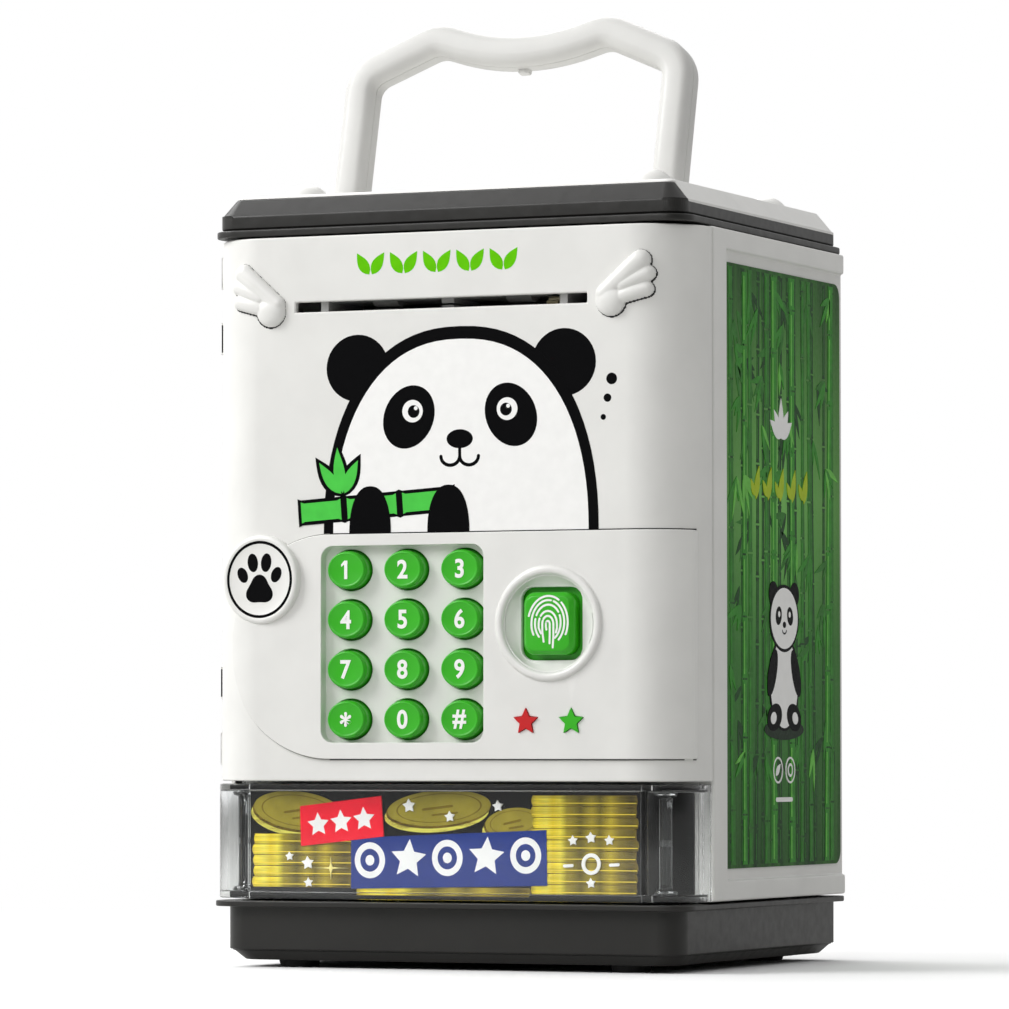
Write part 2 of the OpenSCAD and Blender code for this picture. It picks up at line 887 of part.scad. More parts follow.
module door_panel() {
    color(white)
        difference() {
            union() {
                slab(door_z0, door_z1)
                    door_outline();
                slab(door_z0, door_z0 + 2)
                    front_plan(half_w - 1, -front_y + 1, door_edge_y, door_r - 1);
                slab(door_z1 - 2, door_z1)
                    front_plan(half_w - 1, -front_y + 1, door_edge_y, door_r - 1);
                for (z = lug_z) {
                    door_knuckle(z - lug_gap - knuckle_h);
                    door_knuckle(z + lug_h + lug_gap);
                }
                // Posts for the liner's screws
                for (sx = [-1, 1], z = post_z)
                    bar_y(sx * post_x, z, 2.6, door_inner_y - 0.5, liner_back_y - 2.2);
            }
            // Notches round the casing's lugs
            for (z = lug_z)
                block([-half_w - 1, hinge_y - knuckle_r - 0.4, z - lug_gap],
                    [hinge_x + knuckle_r + 0.4, door_edge_y + 1, z + lug_h + lug_gap]);
            // Pin bores
            for (z = lug_z)
                translate([hinge_x, hinge_y, z - lug_gap - knuckle_h - 1])
                    cylinder(h = lug_h + 2 * knuckle_h + 4, r = pin_r);
            // Note slot
            block([-slot_w / 2, -60, slot_z0], [slot_w / 2, door_inner_y + 1, slot_z1]);
            // Openings for the keypad panel's pan, the fingerprint bowl and the stars
            block([recess_x0 - 0.8, -60, keys_z0 - 0.8], [recess_x1 + 0.8, door_inner_y + 1, keys_z1 + 0.8]);
            bar_y(print_x, print_z, bowl_r + 1.2, -60, door_inner_y + 1);
            for (x = [star_red_x, star_green_x])
                bar_y(x, star_z, 2.2, -60, door_inner_y + 1);
            for (sx = [-1, 1], z = post_z)
                bar_y(sx * post_x, z, screw_r, -46, -20);
        }
}

module hinge_pins() {
    color(steel)
        for (z = lug_z)
            translate([hinge_x, hinge_y, z - lug_gap - knuckle_h])
                cylinder(h = lug_h + 2 * knuckle_h + 2 * lug_gap, r = pin_r);
}

// Layer on the door's outer skin, between distances t0 and t1 outside it
module door_skin(t0, t1) {
    slab(0, 200)
        difference() {
            front_plan(half_w + t1, -front_y - t1, -39.5, door_r + t1);
            front_plan(half_w + t0, -front_y - t0, -38, door_r + t0);
        }
}

// Raised face of the keypad panel with a round left end, grown by more outside the door's skin
module raised_face(more) {
    mid = (panel_z0 + panel_z1) / 2;
    intersection() {
        union() {
            front_block((panel_x0 + panel_r + panel_x1) / 2, mid,
                panel_x1 - panel_x0 - panel_r, 2 * panel_r, 0.5, -60, -40);
            bar_y(panel_x0 + panel_r, mid, panel_r, -60, -40);
        }
        door_skin(0.02, panel_t + more);
    }
}

module keypad_panel() {
    mid = (keys_z0 + keys_z1) / 2;
    color(white)
        difference() {
            union() {
                raised_face(0);
                // Pan of the keys and bowl of the fingerprint button
                front_block((recess_x0 + recess_x1) / 2, mid, recess_x1 - recess_x0 + 1.4,
                    keys_z1 - keys_z0 + 1.4, 0.6, -front_y - 0.4, recess_floor_y + floor_t);
                bar_y(print_x, print_z, bowl_r + 1, -front_y - 0.4, bowl_floor_y + 1.2);
                // Bead round the bowl
                translate([print_x, panel_front_y + 0.2, print_z])
                    rotate([90, 0, 0])
                        rotate_extrude()
                            translate([ring_r, 0])
                                intersection() {
                                    circle(r = ring_bead, $fn = 32);
                                    translate([-2, -0.6])
                                        square([4, 3]);
                                }
            }
            front_block((recess_x0 + recess_x1) / 2, mid, recess_x1 - recess_x0,
                keys_z1 - keys_z0, 3, -60, recess_floor_y);
            for (c = [-1:1], r = [-1.5:1.5])
                bar_y(key_x + c * key_pitch_x, key_z + r * key_pitch_z, key_hole_d / 2, -60, -40);
            bar_y(print_x, print_z, bowl_r - 0.05, -60, bowl_floor_y);
            front_block(print_x, print_z, print_hole[0], print_hole[1], 3, -60, -40);
            for (x = [star_red_x, star_green_x])
                translate([x, -50, star_z])
                    rotate([90, 0, 0])
                        linear_extrude(10)
                            star_outline(star_r + 0.15);
        }
}

// Disc that follows the rounded corner, with a raised emblem face
module badge_disc() {
    difference() {
        translate([badge_x, badge_y, badge_z])
            rotate([0, 0, -badge_turn]) {
                color(white)
                    bar_y(0, 0, badge_r, -badge_t, 6);
            }
        slab(badge_z - 20, badge_z + 20)
            front_plan(half_w + 0.02, -front_y - 0.02, -30, door_r + 0.02);
        raised_face(0.04);
    }
}

// Wing of three feathers on a round base, s = -1 left or 1 right. Each feather is
// [reach from the base's middle, angle above the horizontal, half width].
module wing(s) {
    feathers = [[13.5, 58, 2.3], [12.6, 37, 2.2], [10.4, 15, 2]];
    intersection() {
        translate([s * wing_x, -40, wing_z])
            rotate([90, 0, 0])
                linear_extrude(30) {
                    circle(r = 4.2);
                    for (f = feathers)
                        rotate(s > 0 ? f[1] : 180 - f[1]) {
                            translate([0, -f[2]])
                                square([f[0] - f[2], 2 * f[2]]);
                            translate([f[0] - f[2], 0])
                                circle(r = f[2]);
                        }
                }
        door_skin(0.02, wing_t);
    }
}

module wing_left() {
    color(white)
        wing(-1);
}

module wing_right() {
    color(white)
        wing(1);
}

module star(x) {
    translate([x, 0, star_z])
        rotate([90, 0, 0]) {
            translate([0, 0, front_y + 0.02])
                linear_extrude(1.3)
                    star_outline(star_r);
            translate([0, 0, 49])
                cylinder(h = front_y - 49, r = 1.6);
        }
}

module star_red() {
    color([0.78, 0.12, 0.14])
        star(star_red_x);
}

module star_green() {
    color(green)
        star(star_green_x);
}

module key_membrane() {
    color([0.6, 0.6, 0.62])
        union() {
            block([recess_x0, membrane_y + 0.5, keys_z0], [recess_x1, membrane_y + 1.3, keys_z1]);
            for (c = [-1:1], r = [-1.5:1.5])
                bar_y(key_x + c * key_pitch_x, key_z + r * key_pitch_z, 3, membrane_y, membrane_y + 0.6);
        }
}

module keypad_board() {
    color(board_green)
        difference() {
            block([recess_x0 - 2, board_y, keys_z0 - 1.5], [41, board_y + board_t, keys_z1 + 1]);
            bar_y(print_x, 104, 0.5, board_y - 1, board_y + 3);
        }
    // Chip at the back, and the switch behind the fingerprint button
    color(black)
        block([-18, board_y + board_t, 72], [-4, board_y + board_t + 1.6, 86]);
    color(black)
        block([print_x - 3, bowl_floor_y + print_flange + print_travel + 0.4, print_z - 3],
            [print_x + 3, board_y, print_z + 3]);
    color([0.9, 0.9, 0.9])
        for (x = [star_red_x, star_green_x])
            bar_y(x, star_z, 1.5, -48.8, board_y);
}

module door_liner() {
    color(white)
        difference() {
            block([-liner_half, liner_front_y, liner_z0], [liner_half, liner_back_y, liner_z1]);
            block([-liner_half + liner_t, liner_front_y - 1, liner_z0 + liner_t],
                [liner_half - liner_t, liner_back_y - liner_t, liner_z1 - liner_t]);
            // Exit of the notes
            block([-slot_w / 2 + 6, -40, 158.2], [slot_w / 2 - 6, -20, 165.8]);
            // Way of the bolt
            block([40, bolt_y - 0.3, bolt_z - bolt_size[2] / 2 - 0.3],
                [60, bolt_y + bolt_size[1] + 0.3, bolt_z + bolt_size[2] / 2 + 0.3]);
            for (sx = [-1, 1], z = post_z)
                bar_y(sx * post_x, z, screw_r + 0.2, -40, -20);
        }
}

module liner_screws() {
    color(steel)
        for (sx = [-1, 1], z = post_z)
            translate([sx * post_x, liner_back_y, z])
                rotate([90, 0, 0])
                    screw(8.6);
}

module feed_frame() {
    color(grey)
        difference() {
            union() {
                for (s = [-1, 1])
                    block([s * (feed_half + feed_side_t / 2) - feed_side_t / 2, door_inner_y + 0.05, 147],
                        [s * (feed_half + feed_side_t / 2) + feed_side_t / 2, -32, 169.8]);
                block([-feed_half - 1, door_inner_y + 0.05, 159.4], [feed_half + 1, -34, 160.9]);
                block([-feed_half - 1, door_inner_y + 0.05, 163.6], [feed_half + 1, -34, 164.6]);
                block([-1.6, -49.25, 160.8], [1.6, -34, 162]);
                block([-1.6, -49.25, 162.5], [1.6, -34, 163.7]);
            }
            for (s = [-1, 1])
                block([s * roller_x - roller_w / 2 - 0.4, feed_y - 6, 158],
                    [s * roller_x + roller_w / 2 + 0.4, feed_y + 6, 168]);
            // Room for the drive gear beside the lower plate
            block([gear_x - 0.5, feed_y - 7.2, 158], [gear_x + gear_w + 0.5, feed_y + 7.2, 164.7]);
            bar_x(feed_y, drive_z, drive_shaft_r + 0.05, -60, 60);
            bar_x(feed_y, pinch_z, pinch_shaft_r + 0.05, -60, 60);
            bar_x(motor_y, motor_z, 2.2, 0, 60);
        }
}

module feed_motor() {
    color(steel)
        difference() {
            bar_x(motor_y, motor_z, motor_r, motor_x0, motor_x0 + motor_l);
            bar_x(motor_y, motor_z, 0.85, motor_x0 - 1, motor_x0 + 8);
        }
}

module motor_pinion() {
    color([0.85, 0.8, 0.6])
        translate([gear_x, motor_y, motor_z])
            rotate([90, 0, 90])
                toothed(pinion_teeth, gear_w, 0.8, gear_angle + 180 + 22.5);
    color(steel)
        bar_x(motor_y, motor_z, 0.8, gear_x - 0.6, motor_x0 + 6);
}

module feed_shaft() {
    color(steel)
        bar_x(feed_y, drive_z, drive_shaft_r, -feed_half - feed_side_t - 1, feed_half + feed_side_t - 0.2);
}

module feed_rollers() {
    color(grey)
        for (s = [-1, 1])
            difference() {
                bar_x(feed_y, drive_z, drive_r, s * roller_x - roller_w / 2, s * roller_x + roller_w / 2);
                bar_x(feed_y, drive_z, drive_shaft_r, -60, 60);
            }
}

module feed_gear() {
    color([0.85, 0.8, 0.6])
        translate([gear_x, feed_y, drive_z])
            rotate([90, 0, 90])
                toothed(gear_teeth, gear_w, drive_shaft_r, gear_angle);
}

module pinch_shaft() {
    color(steel)
        bar_x(feed_y, pinch_z, pinch_shaft_r, -feed_half - feed_side_t - 1, feed_half + feed_side_t + 1);
}

module pinch_rollers() {
    color(grey)
        for (s = [-1, 1])
            difference() {
                bar_x(feed_y, pinch_z, pinch_r, s * roller_x - roller_w / 2, s * roller_x + roller_w / 2);
                bar_x(feed_y, pinch_z, pinch_shaft_r, -60, 60);
            }
}

module latch_solenoid() {
    z = bolt_size[2] / 2;
    color(grey)
        difference() {
            block([solenoid_x0, bolt_y - 3.2, bolt_z - z - 3],
                [solenoid_x1, bolt_y + bolt_size[1], bolt_z + z + 3]);
            block([solenoid_x0 + 2, bolt_y - 0.3, bolt_z - z - 0.3],
                [solenoid_x1 + 20, bolt_y + bolt_size[1] + 1, bolt_z + z + 0.3]);
        }
}

module latch_spring() {
    color(steel)
        for (i = [0:4])
            translate([solenoid_x0 + 2.4 + i * 1.4, bolt_y + bolt_size[1] / 2 + 0.2, bolt_z])
                rotate([0, 90, 0])
                    rotate_extrude($fn = 24)
                        translate([1.4, 0])
                            circle(r = 0.35, $fn = 13);
}

module latch_bolt() {
    color(steel)
        block([bolt_x1 - bolt_size[0], bolt_y, bolt_z - bolt_size[2] / 2],
            [bolt_x1, bolt_y + bolt_size[1], bolt_z + bolt_size[2] / 2]);
}

module fingerprint_button() {
    color(green)
        union() {
            front_block(print_x, print_z, print_face[0], print_face[1], 3,
                print_front_y, bowl_floor_y + 2);
            front_block(print_x, print_z, print_hole[0] + 1.4, print_hole[1] + 1.4, 3,
                bowl_floor_y + print_flange - 1.2, bowl_floor_y + print_flange);
        }
}

// Key in column c and row r, both counted from the middle of the pad
module key(c, r) {
    x = key_x + c * key_pitch_x;
    z = key_z + r * key_pitch_z;
    color(green)
        difference() {
            union() {
                bar_y(x, z, key_d / 2, key_front_y, key_flange_y + 0.2);
                bar_y(x, z, key_flange_d / 2, key_flange_y, key_flange_y + key_flange_t);
            }
            bar_y(x, z, key_d / 2 - 1.2, key_front_y - 1, key_front_y + 0.4);
        }
}

module key_1() {
    key(-1, 1.5);
}

module key_2() {
    key(0, 1.5);
}

module key_3() {
    key(1, 1.5);
}

module key_4() {
    key(-1, 0.5);
}

module key_5() {
    key(0, 0.5);
}

module key_6() {
    key(1, 0.5);
}

module key_7() {
    key(-1, -0.5);
}

module key_8() {
    key(0, -0.5);
}

module key_9() {
    key(1, -0.5);
}

module key_star() {
    key(-1, -1.5);
}

module key_0() {
    key(0, -1.5);
}

module key_hash() {
    key(1, -1.5);
}

base_tray();
rubber_feet();
battery_box();
battery_cover();
battery_cover_screw();
battery_cells();
battery_contacts();
speaker();
sound_board();
chamber_floor();
rear_casing();
side_print_left();
side_print_right();
front_frame();
window_cover();
window_card();
window_backing();
lid_frame();
top_cover();
lid_studs();
handle_pins();
case_screws();
handle_front_shell();
handle_rear_shell();
door_panel();
hinge_pins();
keypad_panel();
badge_disc();
wing_left();
wing_right();
star_red();
star_green();
key_membrane();
keypad_board();
door_liner();
liner_screws();
feed_frame();
feed_motor();
motor_pinion();
feed_shaft();
feed_rollers();
feed_gear();
pinch_shaft();
pinch_rollers();
latch_solenoid();
latch_spring();
latch_bolt();
fingerprint_button();
key_1();
key_2();
key_3();
key_4();
key_5();
key_6();
key_7();
key_8();
key_9();
key_star();
key_0();
key_hash();
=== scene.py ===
import json
import math
import random

import bmesh
import bpy
from mathutils import Matrix, Vector


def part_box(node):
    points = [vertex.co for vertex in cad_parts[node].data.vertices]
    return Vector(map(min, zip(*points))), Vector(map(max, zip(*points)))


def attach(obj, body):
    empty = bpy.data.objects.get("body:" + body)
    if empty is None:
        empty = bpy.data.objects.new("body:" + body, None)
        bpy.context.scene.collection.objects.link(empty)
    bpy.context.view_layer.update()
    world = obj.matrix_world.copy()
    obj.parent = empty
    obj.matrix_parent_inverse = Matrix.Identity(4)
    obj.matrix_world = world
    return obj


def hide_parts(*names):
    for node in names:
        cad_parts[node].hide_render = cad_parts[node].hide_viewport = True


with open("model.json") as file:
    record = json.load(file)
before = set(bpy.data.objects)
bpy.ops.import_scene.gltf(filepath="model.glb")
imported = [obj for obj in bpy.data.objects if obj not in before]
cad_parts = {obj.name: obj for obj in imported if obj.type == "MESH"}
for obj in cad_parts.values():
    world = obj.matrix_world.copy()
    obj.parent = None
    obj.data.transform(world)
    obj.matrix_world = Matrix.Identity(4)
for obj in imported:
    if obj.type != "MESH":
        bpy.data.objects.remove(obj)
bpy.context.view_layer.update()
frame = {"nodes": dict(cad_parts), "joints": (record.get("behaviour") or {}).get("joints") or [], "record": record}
NODES = frame["nodes"]
BODY_OF = {n: b for b, members in frame["record"]["behaviour"]["bodies"].items() for n in members}
SLOT_OF = {part["node"]: part["material_slot"] for part in frame["record"]["subparts"]}
MM = 0.001
SMOOTH_ANGLE = math.radians(38)  # below this, faces shade as one surface
SHARP = math.radians(30)  # above this, an edge of a CAD node is rounded


# ---------------- frame positions, in millimetres
def box_mm(node):
    """Lowest and highest corner of a CAD node, in millimetres."""
    low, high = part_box(node)
    return low / MM, high / MM


def middle_of(node):
    low, high = box_mm(node)
    return (low + high) / 2


DOOR_LOW, DOOR_HIGH = box_mm("door_panel")
PANEL_LOW, PANEL_HIGH = box_mm("keypad_panel")
DOOR_Y = DOOR_LOW.y
HALF_W = DOOR_HIGH.x
DOOR_R = 16.0
PANEL_Y = DOOR_Y - 0.9
INK_FOOT = -0.02  # prints start this far under the surface


# ---------------- materials
SOCKETS = {
    "specular": "Specular IOR Level", "metallic": "Metallic", "ior": "IOR",
    "transmission": "Transmission Weight",
}


class Nodes:
    """A material's node tree, with short calls that add and join nodes."""

    def __init__(self, name):
        self.material = bpy.data.materials.new(name)
        self.material.use_nodes = True
        self.tree = self.material.node_tree
        self.shader = self.tree.nodes["Principled BSDF"]
        self.place = self.add("ShaderNodeTexCoord").outputs["Object"]

    def add(self, kind, **settings):
        node = self.tree.nodes.new(kind)
        for key, value in settings.items():
            setattr(node, key, value)
        return node

    def join(self, a, b):
        self.tree.links.new(a, b)

    def axis(self, letter, start_mm, end_mm):
        """0 to 1 along one axis of the object, between two places in millimetres."""
        split = self.add("ShaderNodeSeparateXYZ")
        self.join(self.place, split.inputs[0])
        return self.remap(split.outputs[letter], 0, 1, start_mm * MM, end_mm * MM)

    def ramp(self, factor, stops):
        """Colour ramp with stops (position, colour), the first at 0 and the last at 1."""
        node = self.add("ShaderNodeValToRGB")
        elements = node.color_ramp.elements
        for position, colour in stops[1:-1]:
            elements.new(position).color = (*colour, 1)
        elements[0].color = (*stops[0][1], 1)
        elements[-1].color = (*stops[-1][1], 1)
        self.join(factor, node.inputs["Fac"])
        return node.outputs["Color"]

    def noise(self, size_mm, detail, stretch=None):
        """Noise whose blotches are about size_mm across, stretched along the axes if asked."""
        node = self.add("ShaderNodeTexNoise")
        node.inputs["Scale"].default_value = 1 / (size_mm * MM)
        node.inputs["Detail"].default_value = detail
        source = self.place
        if stretch:
            mapping = self.add("ShaderNodeMapping")
            mapping.inputs["Scale"].default_value = stretch
            self.join(self.place, mapping.inputs["Vector"])
            source = mapping.outputs["Vector"]
        self.join(source, node.inputs["Vector"])
        return node.outputs["Fac"]

    def remap(self, value, low, high, start=0.3, end=0.7):
        node = self.add("ShaderNodeMapRange")
        node.inputs["From Min"].default_value = start
        node.inputs["From Max"].default_value = end
        node.inputs["To Min"].default_value = low
        node.inputs["To Max"].default_value = high
        self.join(value, node.inputs["Value"])
        return node.outputs["Result"]

    def blend(self, factor, a, b):
        """Colour that goes from a to b with factor; a and b are colours or sockets."""
        node = self.add("ShaderNodeMix", data_type="RGBA")
        for socket, value in ((node.inputs[6], a), (node.inputs[7], b)):
            if isinstance(value, bpy.types.NodeSocket):
                self.join(value, socket)
            else:
                socket.default_value = (*value, 1)
        self.join(factor, node.inputs[0])
        return node.outputs[2]

    def bump(self, height, depth_mm, strength):
        node = self.add("ShaderNodeBump")
        node.inputs["Distance"].default_value = depth_mm * MM
        node.inputs["Strength"].default_value = strength
        self.join(height, node.inputs["Height"])
        self.join(node.outputs["Normal"], self.shader.inputs["Normal"])

    def drift(self, value, colour, low, high):
        """A colour that varies between two strengths of itself with value."""
        return self.blend(self.remap(value, 0, 1), shade(colour, low), shade(colour, high))

    def finish(self, colour, rough, grain, **uniform):
        """Joins the colour, roughness (value, low, high) and bump, and sets uniform sockets."""
        self.join(colour, self.shader.inputs["Base Color"])
        self.join(self.remap(*rough), self.shader.inputs["Roughness"])
        if grain:
            self.bump(*grain)
        for socket, value in uniform.items():
            self.shader.inputs[SOCKETS[socket]].default_value = value
        return self.material

    def mix_shaders(self, factor, other):
        """Sends the surface from the main shader to another one with factor."""
        either = self.add("ShaderNodeMixShader")
        self.join(factor, either.inputs[0])
        self.join(self.shader.outputs[0], either.inputs[1])
        self.join(other, either.inputs[2])
        self.join(either.outputs[0], self.tree.nodes["Material Output"].inputs["Surface"])

    def edges(self):
        """1 on worn convex edges, 0 elsewhere."""
        node = self.add("ShaderNodeNewGeometry")
        return self.remap(node.outputs["Pointiness"], 0, 1, 0.52, 0.6)


def shade(colour, factor):
    return tuple(min(1.0, c * factor) for c in colour)


def plastic(name, colour, rough, tint=0.03, wear=0.25):
    """Moulded plastic: fine spark-eroded grain, slow colour drift, and paler rubbed edges."""
    n = Nodes(name)
    body = n.drift(n.noise(14, 3), colour, 1 - tint, 1 + tint)
    worn = n.blend(n.remap(n.edges(), 0, wear, 0, 1), body, shade(colour, 1.18))
    return n.finish(worn, (n.noise(2.5, 4), rough - 0.05, rough + 0.05), (n.noise(0.35, 2), 0.012, 0.5),
                    specular=0.5)


def rubber(name, colour):
    n = Nodes(name)
    return n.finish(n.drift(n.noise(5, 4), colour, 0.8, 1.25), (n.noise(1.2, 3), 0.62, 0.8),
                    (n.noise(0.25, 3), 0.02, 0.7))


def metal(name, colour, rough):
    n = Nodes(name)
    brushed = n.noise(0.5, 3, (1, 1, 0.06))
    return n.finish(n.drift(brushed, colour, 0.86, 1.08), (brushed, rough - 0.07, rough + 0.1),
                    (brushed, 0.008, 0.5), metallic=1.0)


def ink(name, colour, rough=0.45, tint=0.06, specular=0.12):
    """Pad-printed ink: slightly uneven film over the plastic's grain."""
    n = Nodes(name)
    return n.finish(n.drift(n.noise(3, 4), colour, 1 - tint, 1 + tint),
                    (n.noise(0.8, 3), rough - 0.06, rough + 0.08), (n.noise(0.3, 2), 0.008, 0.4),
                    specular=specular)


def clear(name):
    n = Nodes(name)
    tone = n.blend(n.remap(n.noise(20, 2), 0, 1), (0.93, 0.95, 0.95), (0.99, 1.0, 1.0))
    n.finish(tone, (n.noise(3, 4), 0.015, 0.05), (n.noise(9, 1), 0.012, 0.15),
             transmission=1.0, ior=1.49, specular=0.25)
    # Lamps shine through it, where a refracting solid would throw a black shadow
    path = n.add("ShaderNodeLightPath")
    open_way = n.add("ShaderNodeBsdfTransparent")
    n.mix_shaders(path.outputs["Is Shadow Ray"], open_way.outputs[0])
    return n.material


def circuit(name):
    n = Nodes(name)
    tracks = n.add("ShaderNodeTexBrick")
    tracks.inputs["Scale"].default_value = 1 / (3.2 * MM)
    tracks.inputs["Mortar Size"].default_value = 0.05
    tracks.inputs["Color1"].default_value = (0.012, 0.16, 0.07, 1)
    tracks.inputs["Color2"].default_value = (0.016, 0.2, 0.09, 1)
    tracks.inputs["Mortar"].default_value = (0.05, 0.36, 0.16, 1)
    n.join(n.place, tracks.inputs["Vector"])
    return n.finish(tracks.outputs["Color"], (n.noise(1.5, 3), 0.25, 0.4), (n.noise(0.6, 2), 0.01, 0.4))


WHITE = (0.79, 0.785, 0.76)
DARK = (0.0165, 0.0158, 0.0142)
GREEN = (0.03, 0.43, 0.006)
RECIPES = {
    # maker, then its colour, roughness, and for plastics the colour's drift and the wear of the edges
    "white_plastic": (plastic, WHITE, 0.36),
    # The handle's white darkened to 0.82: painted shade, as the handle is moulded in the same white as the body
    "handle_plastic": (plastic, shade(WHITE, 0.82), 0.4),
    "dark_plastic": (plastic, DARK, 0.38, 0.1, 0.5),
    "black_plastic": (plastic, (0.008, 0.008, 0.009), 0.42, 0.12),
    "grey_plastic": (plastic, (0.42, 0.42, 0.41), 0.4),
    "clear_plastic": (clear,),
    "green_plastic": (plastic, GREEN, 0.34, 0.05, 0.35),
    "red_plastic": (plastic, (0.56, 0.006, 0.008), 0.34, 0.05),
    "roller_rubber": (rubber, (0.3, 0.3, 0.29)),
    "foot_rubber": (rubber, (0.012, 0.012, 0.012)),
    "membrane_rubber": (rubber, (0.28, 0.28, 0.3)),
    "steel": (metal, (0.6, 0.6, 0.62), 0.3),
    "gear_plastic": (plastic, (0.7, 0.62, 0.4), 0.45),
    "circuit_board": (circuit,),
    "printed_card": (ink, (0.006, 0.006, 0.007)),
    "side_print": (ink, (0.02, 0.2, 0.02)),
    "battery": (ink, (0.5, 0.36, 0.05)),
}
MATERIALS = {name: make(name, *settings) for name, (make, *settings) in RECIPES.items()}
INK = {
    # Paler grey for the joint round the keypad's left end: painted highlight on its rounded end
    "joint": ink("joint_line_painted_highlight", (0.3, 0.295, 0.28)),
    "black": ink("ink_black", (0.0025, 0.0025, 0.003), specular=0.04),
    "white": ink("ink_white", (0.92, 0.915, 0.9), tint=0.02),
    "bamboo": ink("ink_bamboo", (0.075, 0.58, 0.07)),
    "title": ink("ink_title", (0.125, 0.56, 0.003), specular=0.05),
    "red": ink("ink_red", (0.9, 0.008, 0.03)),
    "blue": ink("ink_blue", (0.006, 0.03, 0.22)),
}


# ---------------- mesh helpers
def add_object(name, data):
    made = bpy.data.objects.new(name, data)
    bpy.context.scene.collection.objects.link(made)
    return made


def piece(name, bm, body, slot, material=None, replaced=(), angle=SMOOTH_ANGLE):
    """Turns a bmesh in millimetres into a piece that rides on a body."""
    bmesh.ops.recalc_face_normals(bm, faces=bm.faces)
    bmesh.ops.scale(bm, vec=(MM, MM, MM), verts=bm.verts)
    mesh = bpy.data.meshes.new(name)
    bm.to_mesh(mesh)
    bm.free()
    mesh.shade_smooth()
    mesh.set_sharp_from_angle(angle=angle)
    mesh.materials.append(material or MATERIALS[slot])
    made = add_object(name, mesh)
    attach(made, body)
    if replaced:
        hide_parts(*replaced)
    return made


def round_pairs(items):
    """Each item with the next one, and the last with the first."""
    return list(zip(items, items[1:] + items[:1]))


def angles(count):
    """Angles of count equal steps round a full turn."""
    return [2 * math.pi * i / count for i in range(count)]


def ring_loft(bm, rings, caps=True):
    """Skins rings of points one after another. The end rings get caps, or else they are joined."""
    rows = [[bm.verts.new(p) for p in ring] for ring in rings]
    for a, b in list(zip(rows, rows[1:])) if caps else round_pairs(rows):
        for (a0, a1), (b0, b1) in zip(round_pairs(a), round_pairs(b)):
            bm.faces.new((a0, a1, b1, b0))
    if caps:
        bm.faces.new(rows[0])
        bm.faces.new(rows[-1][::-1])


def prism(bm, outline, place, low, high):
    """Thin closed slab of an outline between two distances from a surface."""
    ring_loft(bm, [[place(*p, lift) for p in outline] for lift in (high, low)])


def hoop(bm, outer, inner, place, low, high):
    """Closed slab between two outlines with the same number of points."""
    corners = ((outer, high), (inner, high), (inner, low), (outer, low))
    ring_loft(bm, [[place(*p, lift) for p in outline] for outline, lift in corners], caps=False)


def revolve(bm, profile, centre, across, up, along, segments):
    """Turns (radius, height) points round the axis along, through centre. Points of radius 0 are tips."""
    rows = []
    for radius, height in profile:
        if radius < 1e-6:
            rows.append([bm.verts.new(centre + along * height)])
        else:
            rows.append([
                bm.verts.new(centre + along * height + (across * math.cos(a) + up * math.sin(a)) * radius)
                for a in angles(segments)
            ])
    for a, b in zip(rows, rows[1:]):
        for i in range(segments):
            j = (i + 1) % segments
            corners = [a[i % len(a)], a[j % len(a)], b[j % len(b)], b[i % len(b)]]
            unique = list(dict.fromkeys(corners))
            if len(unique) > 2:
                bm.faces.new(unique)


X, Y, Z = Vector((1, 0, 0)), Vector((0, 1, 0)), Vector((0, 0, 1))


def round_rect(width, low, high, low_r, high_r, steps):
    """Outline of a rectangle about x = 0, with its own radius for the low and the high corners."""
    points = []
    for side, edge, inward, r, start in ((1, high, -1, high_r, 0), (-1, high, -1, high_r, 90),
                                         (-1, low, 1, low_r, 180), (1, low, 1, low_r, 270)):
        for i in range(steps + 1):
            a = math.radians(start + 90 * i / steps)
            points.append((side * (width / 2 - r) + r * math.cos(a), edge + inward * r + r * math.sin(a)))
    return points


def softened(node, width):
    """A finished copy of a CAD node, with its sharp edges rounded, that stands for the node."""
    bm = bmesh.new()
    bm.from_mesh(NODES[node].data)
    bmesh.ops.remove_doubles(bm, verts=bm.verts, dist=0.004 * MM)
    bmesh.ops.dissolve_limit(bm, angle_limit=math.radians(0.8), verts=bm.verts, edges=bm.edges)
    bmesh.ops.scale(bm, vec=(1 / MM,) * 3, verts=bm.verts)
    sharp = [e for e in bm.edges if len(e.link_faces) == 2 and e.calc_face_angle(0) > SHARP]
    bmesh.ops.bevel(
        bm, geom=sharp, offset=width, offset_type="OFFSET", segments=2,
        profile=0.5, affect="EDGES", clamp_overlap=False,
    )
    shell = piece(node + "_shell", bm, BODY_OF[node], SLOT_OF[node], replaced=(node,))
    # Large flat faces decide the normals along their edges, so they shade as flat
    weighted = shell.modifiers.new("flat_faces", "WEIGHTED_NORMAL")
    weighted.keep_sharp = True
    return shell


# ---------------- carried-over CAD nodes
def dress(node, material):
    NODES[node].data.materials.clear()
    NODES[node].data.materials.append(material)


KEY_NAMES = ("1", "2", "3", "4", "5", "6", "7", "8", "9", "star", "0", "hash")
KEY_SIGNS = {"star": "*", "hash": "#"}
KEY_OVAL = (1.09, 0.955)  # the cap's width and height over the CAD's round cap
HOLE_OVAL = (1.06, 0.945)
SOFT_EDGES = {
    "base_tray": 0.28, "rear_casing": 0.5, "front_frame": 0.3, "lid_frame": 0.35, "top_cover": 0.3,
    "door_panel": 0.4, "keypad_panel": 0.22, "window_cover": 0.35, "door_liner": 0.4,
}


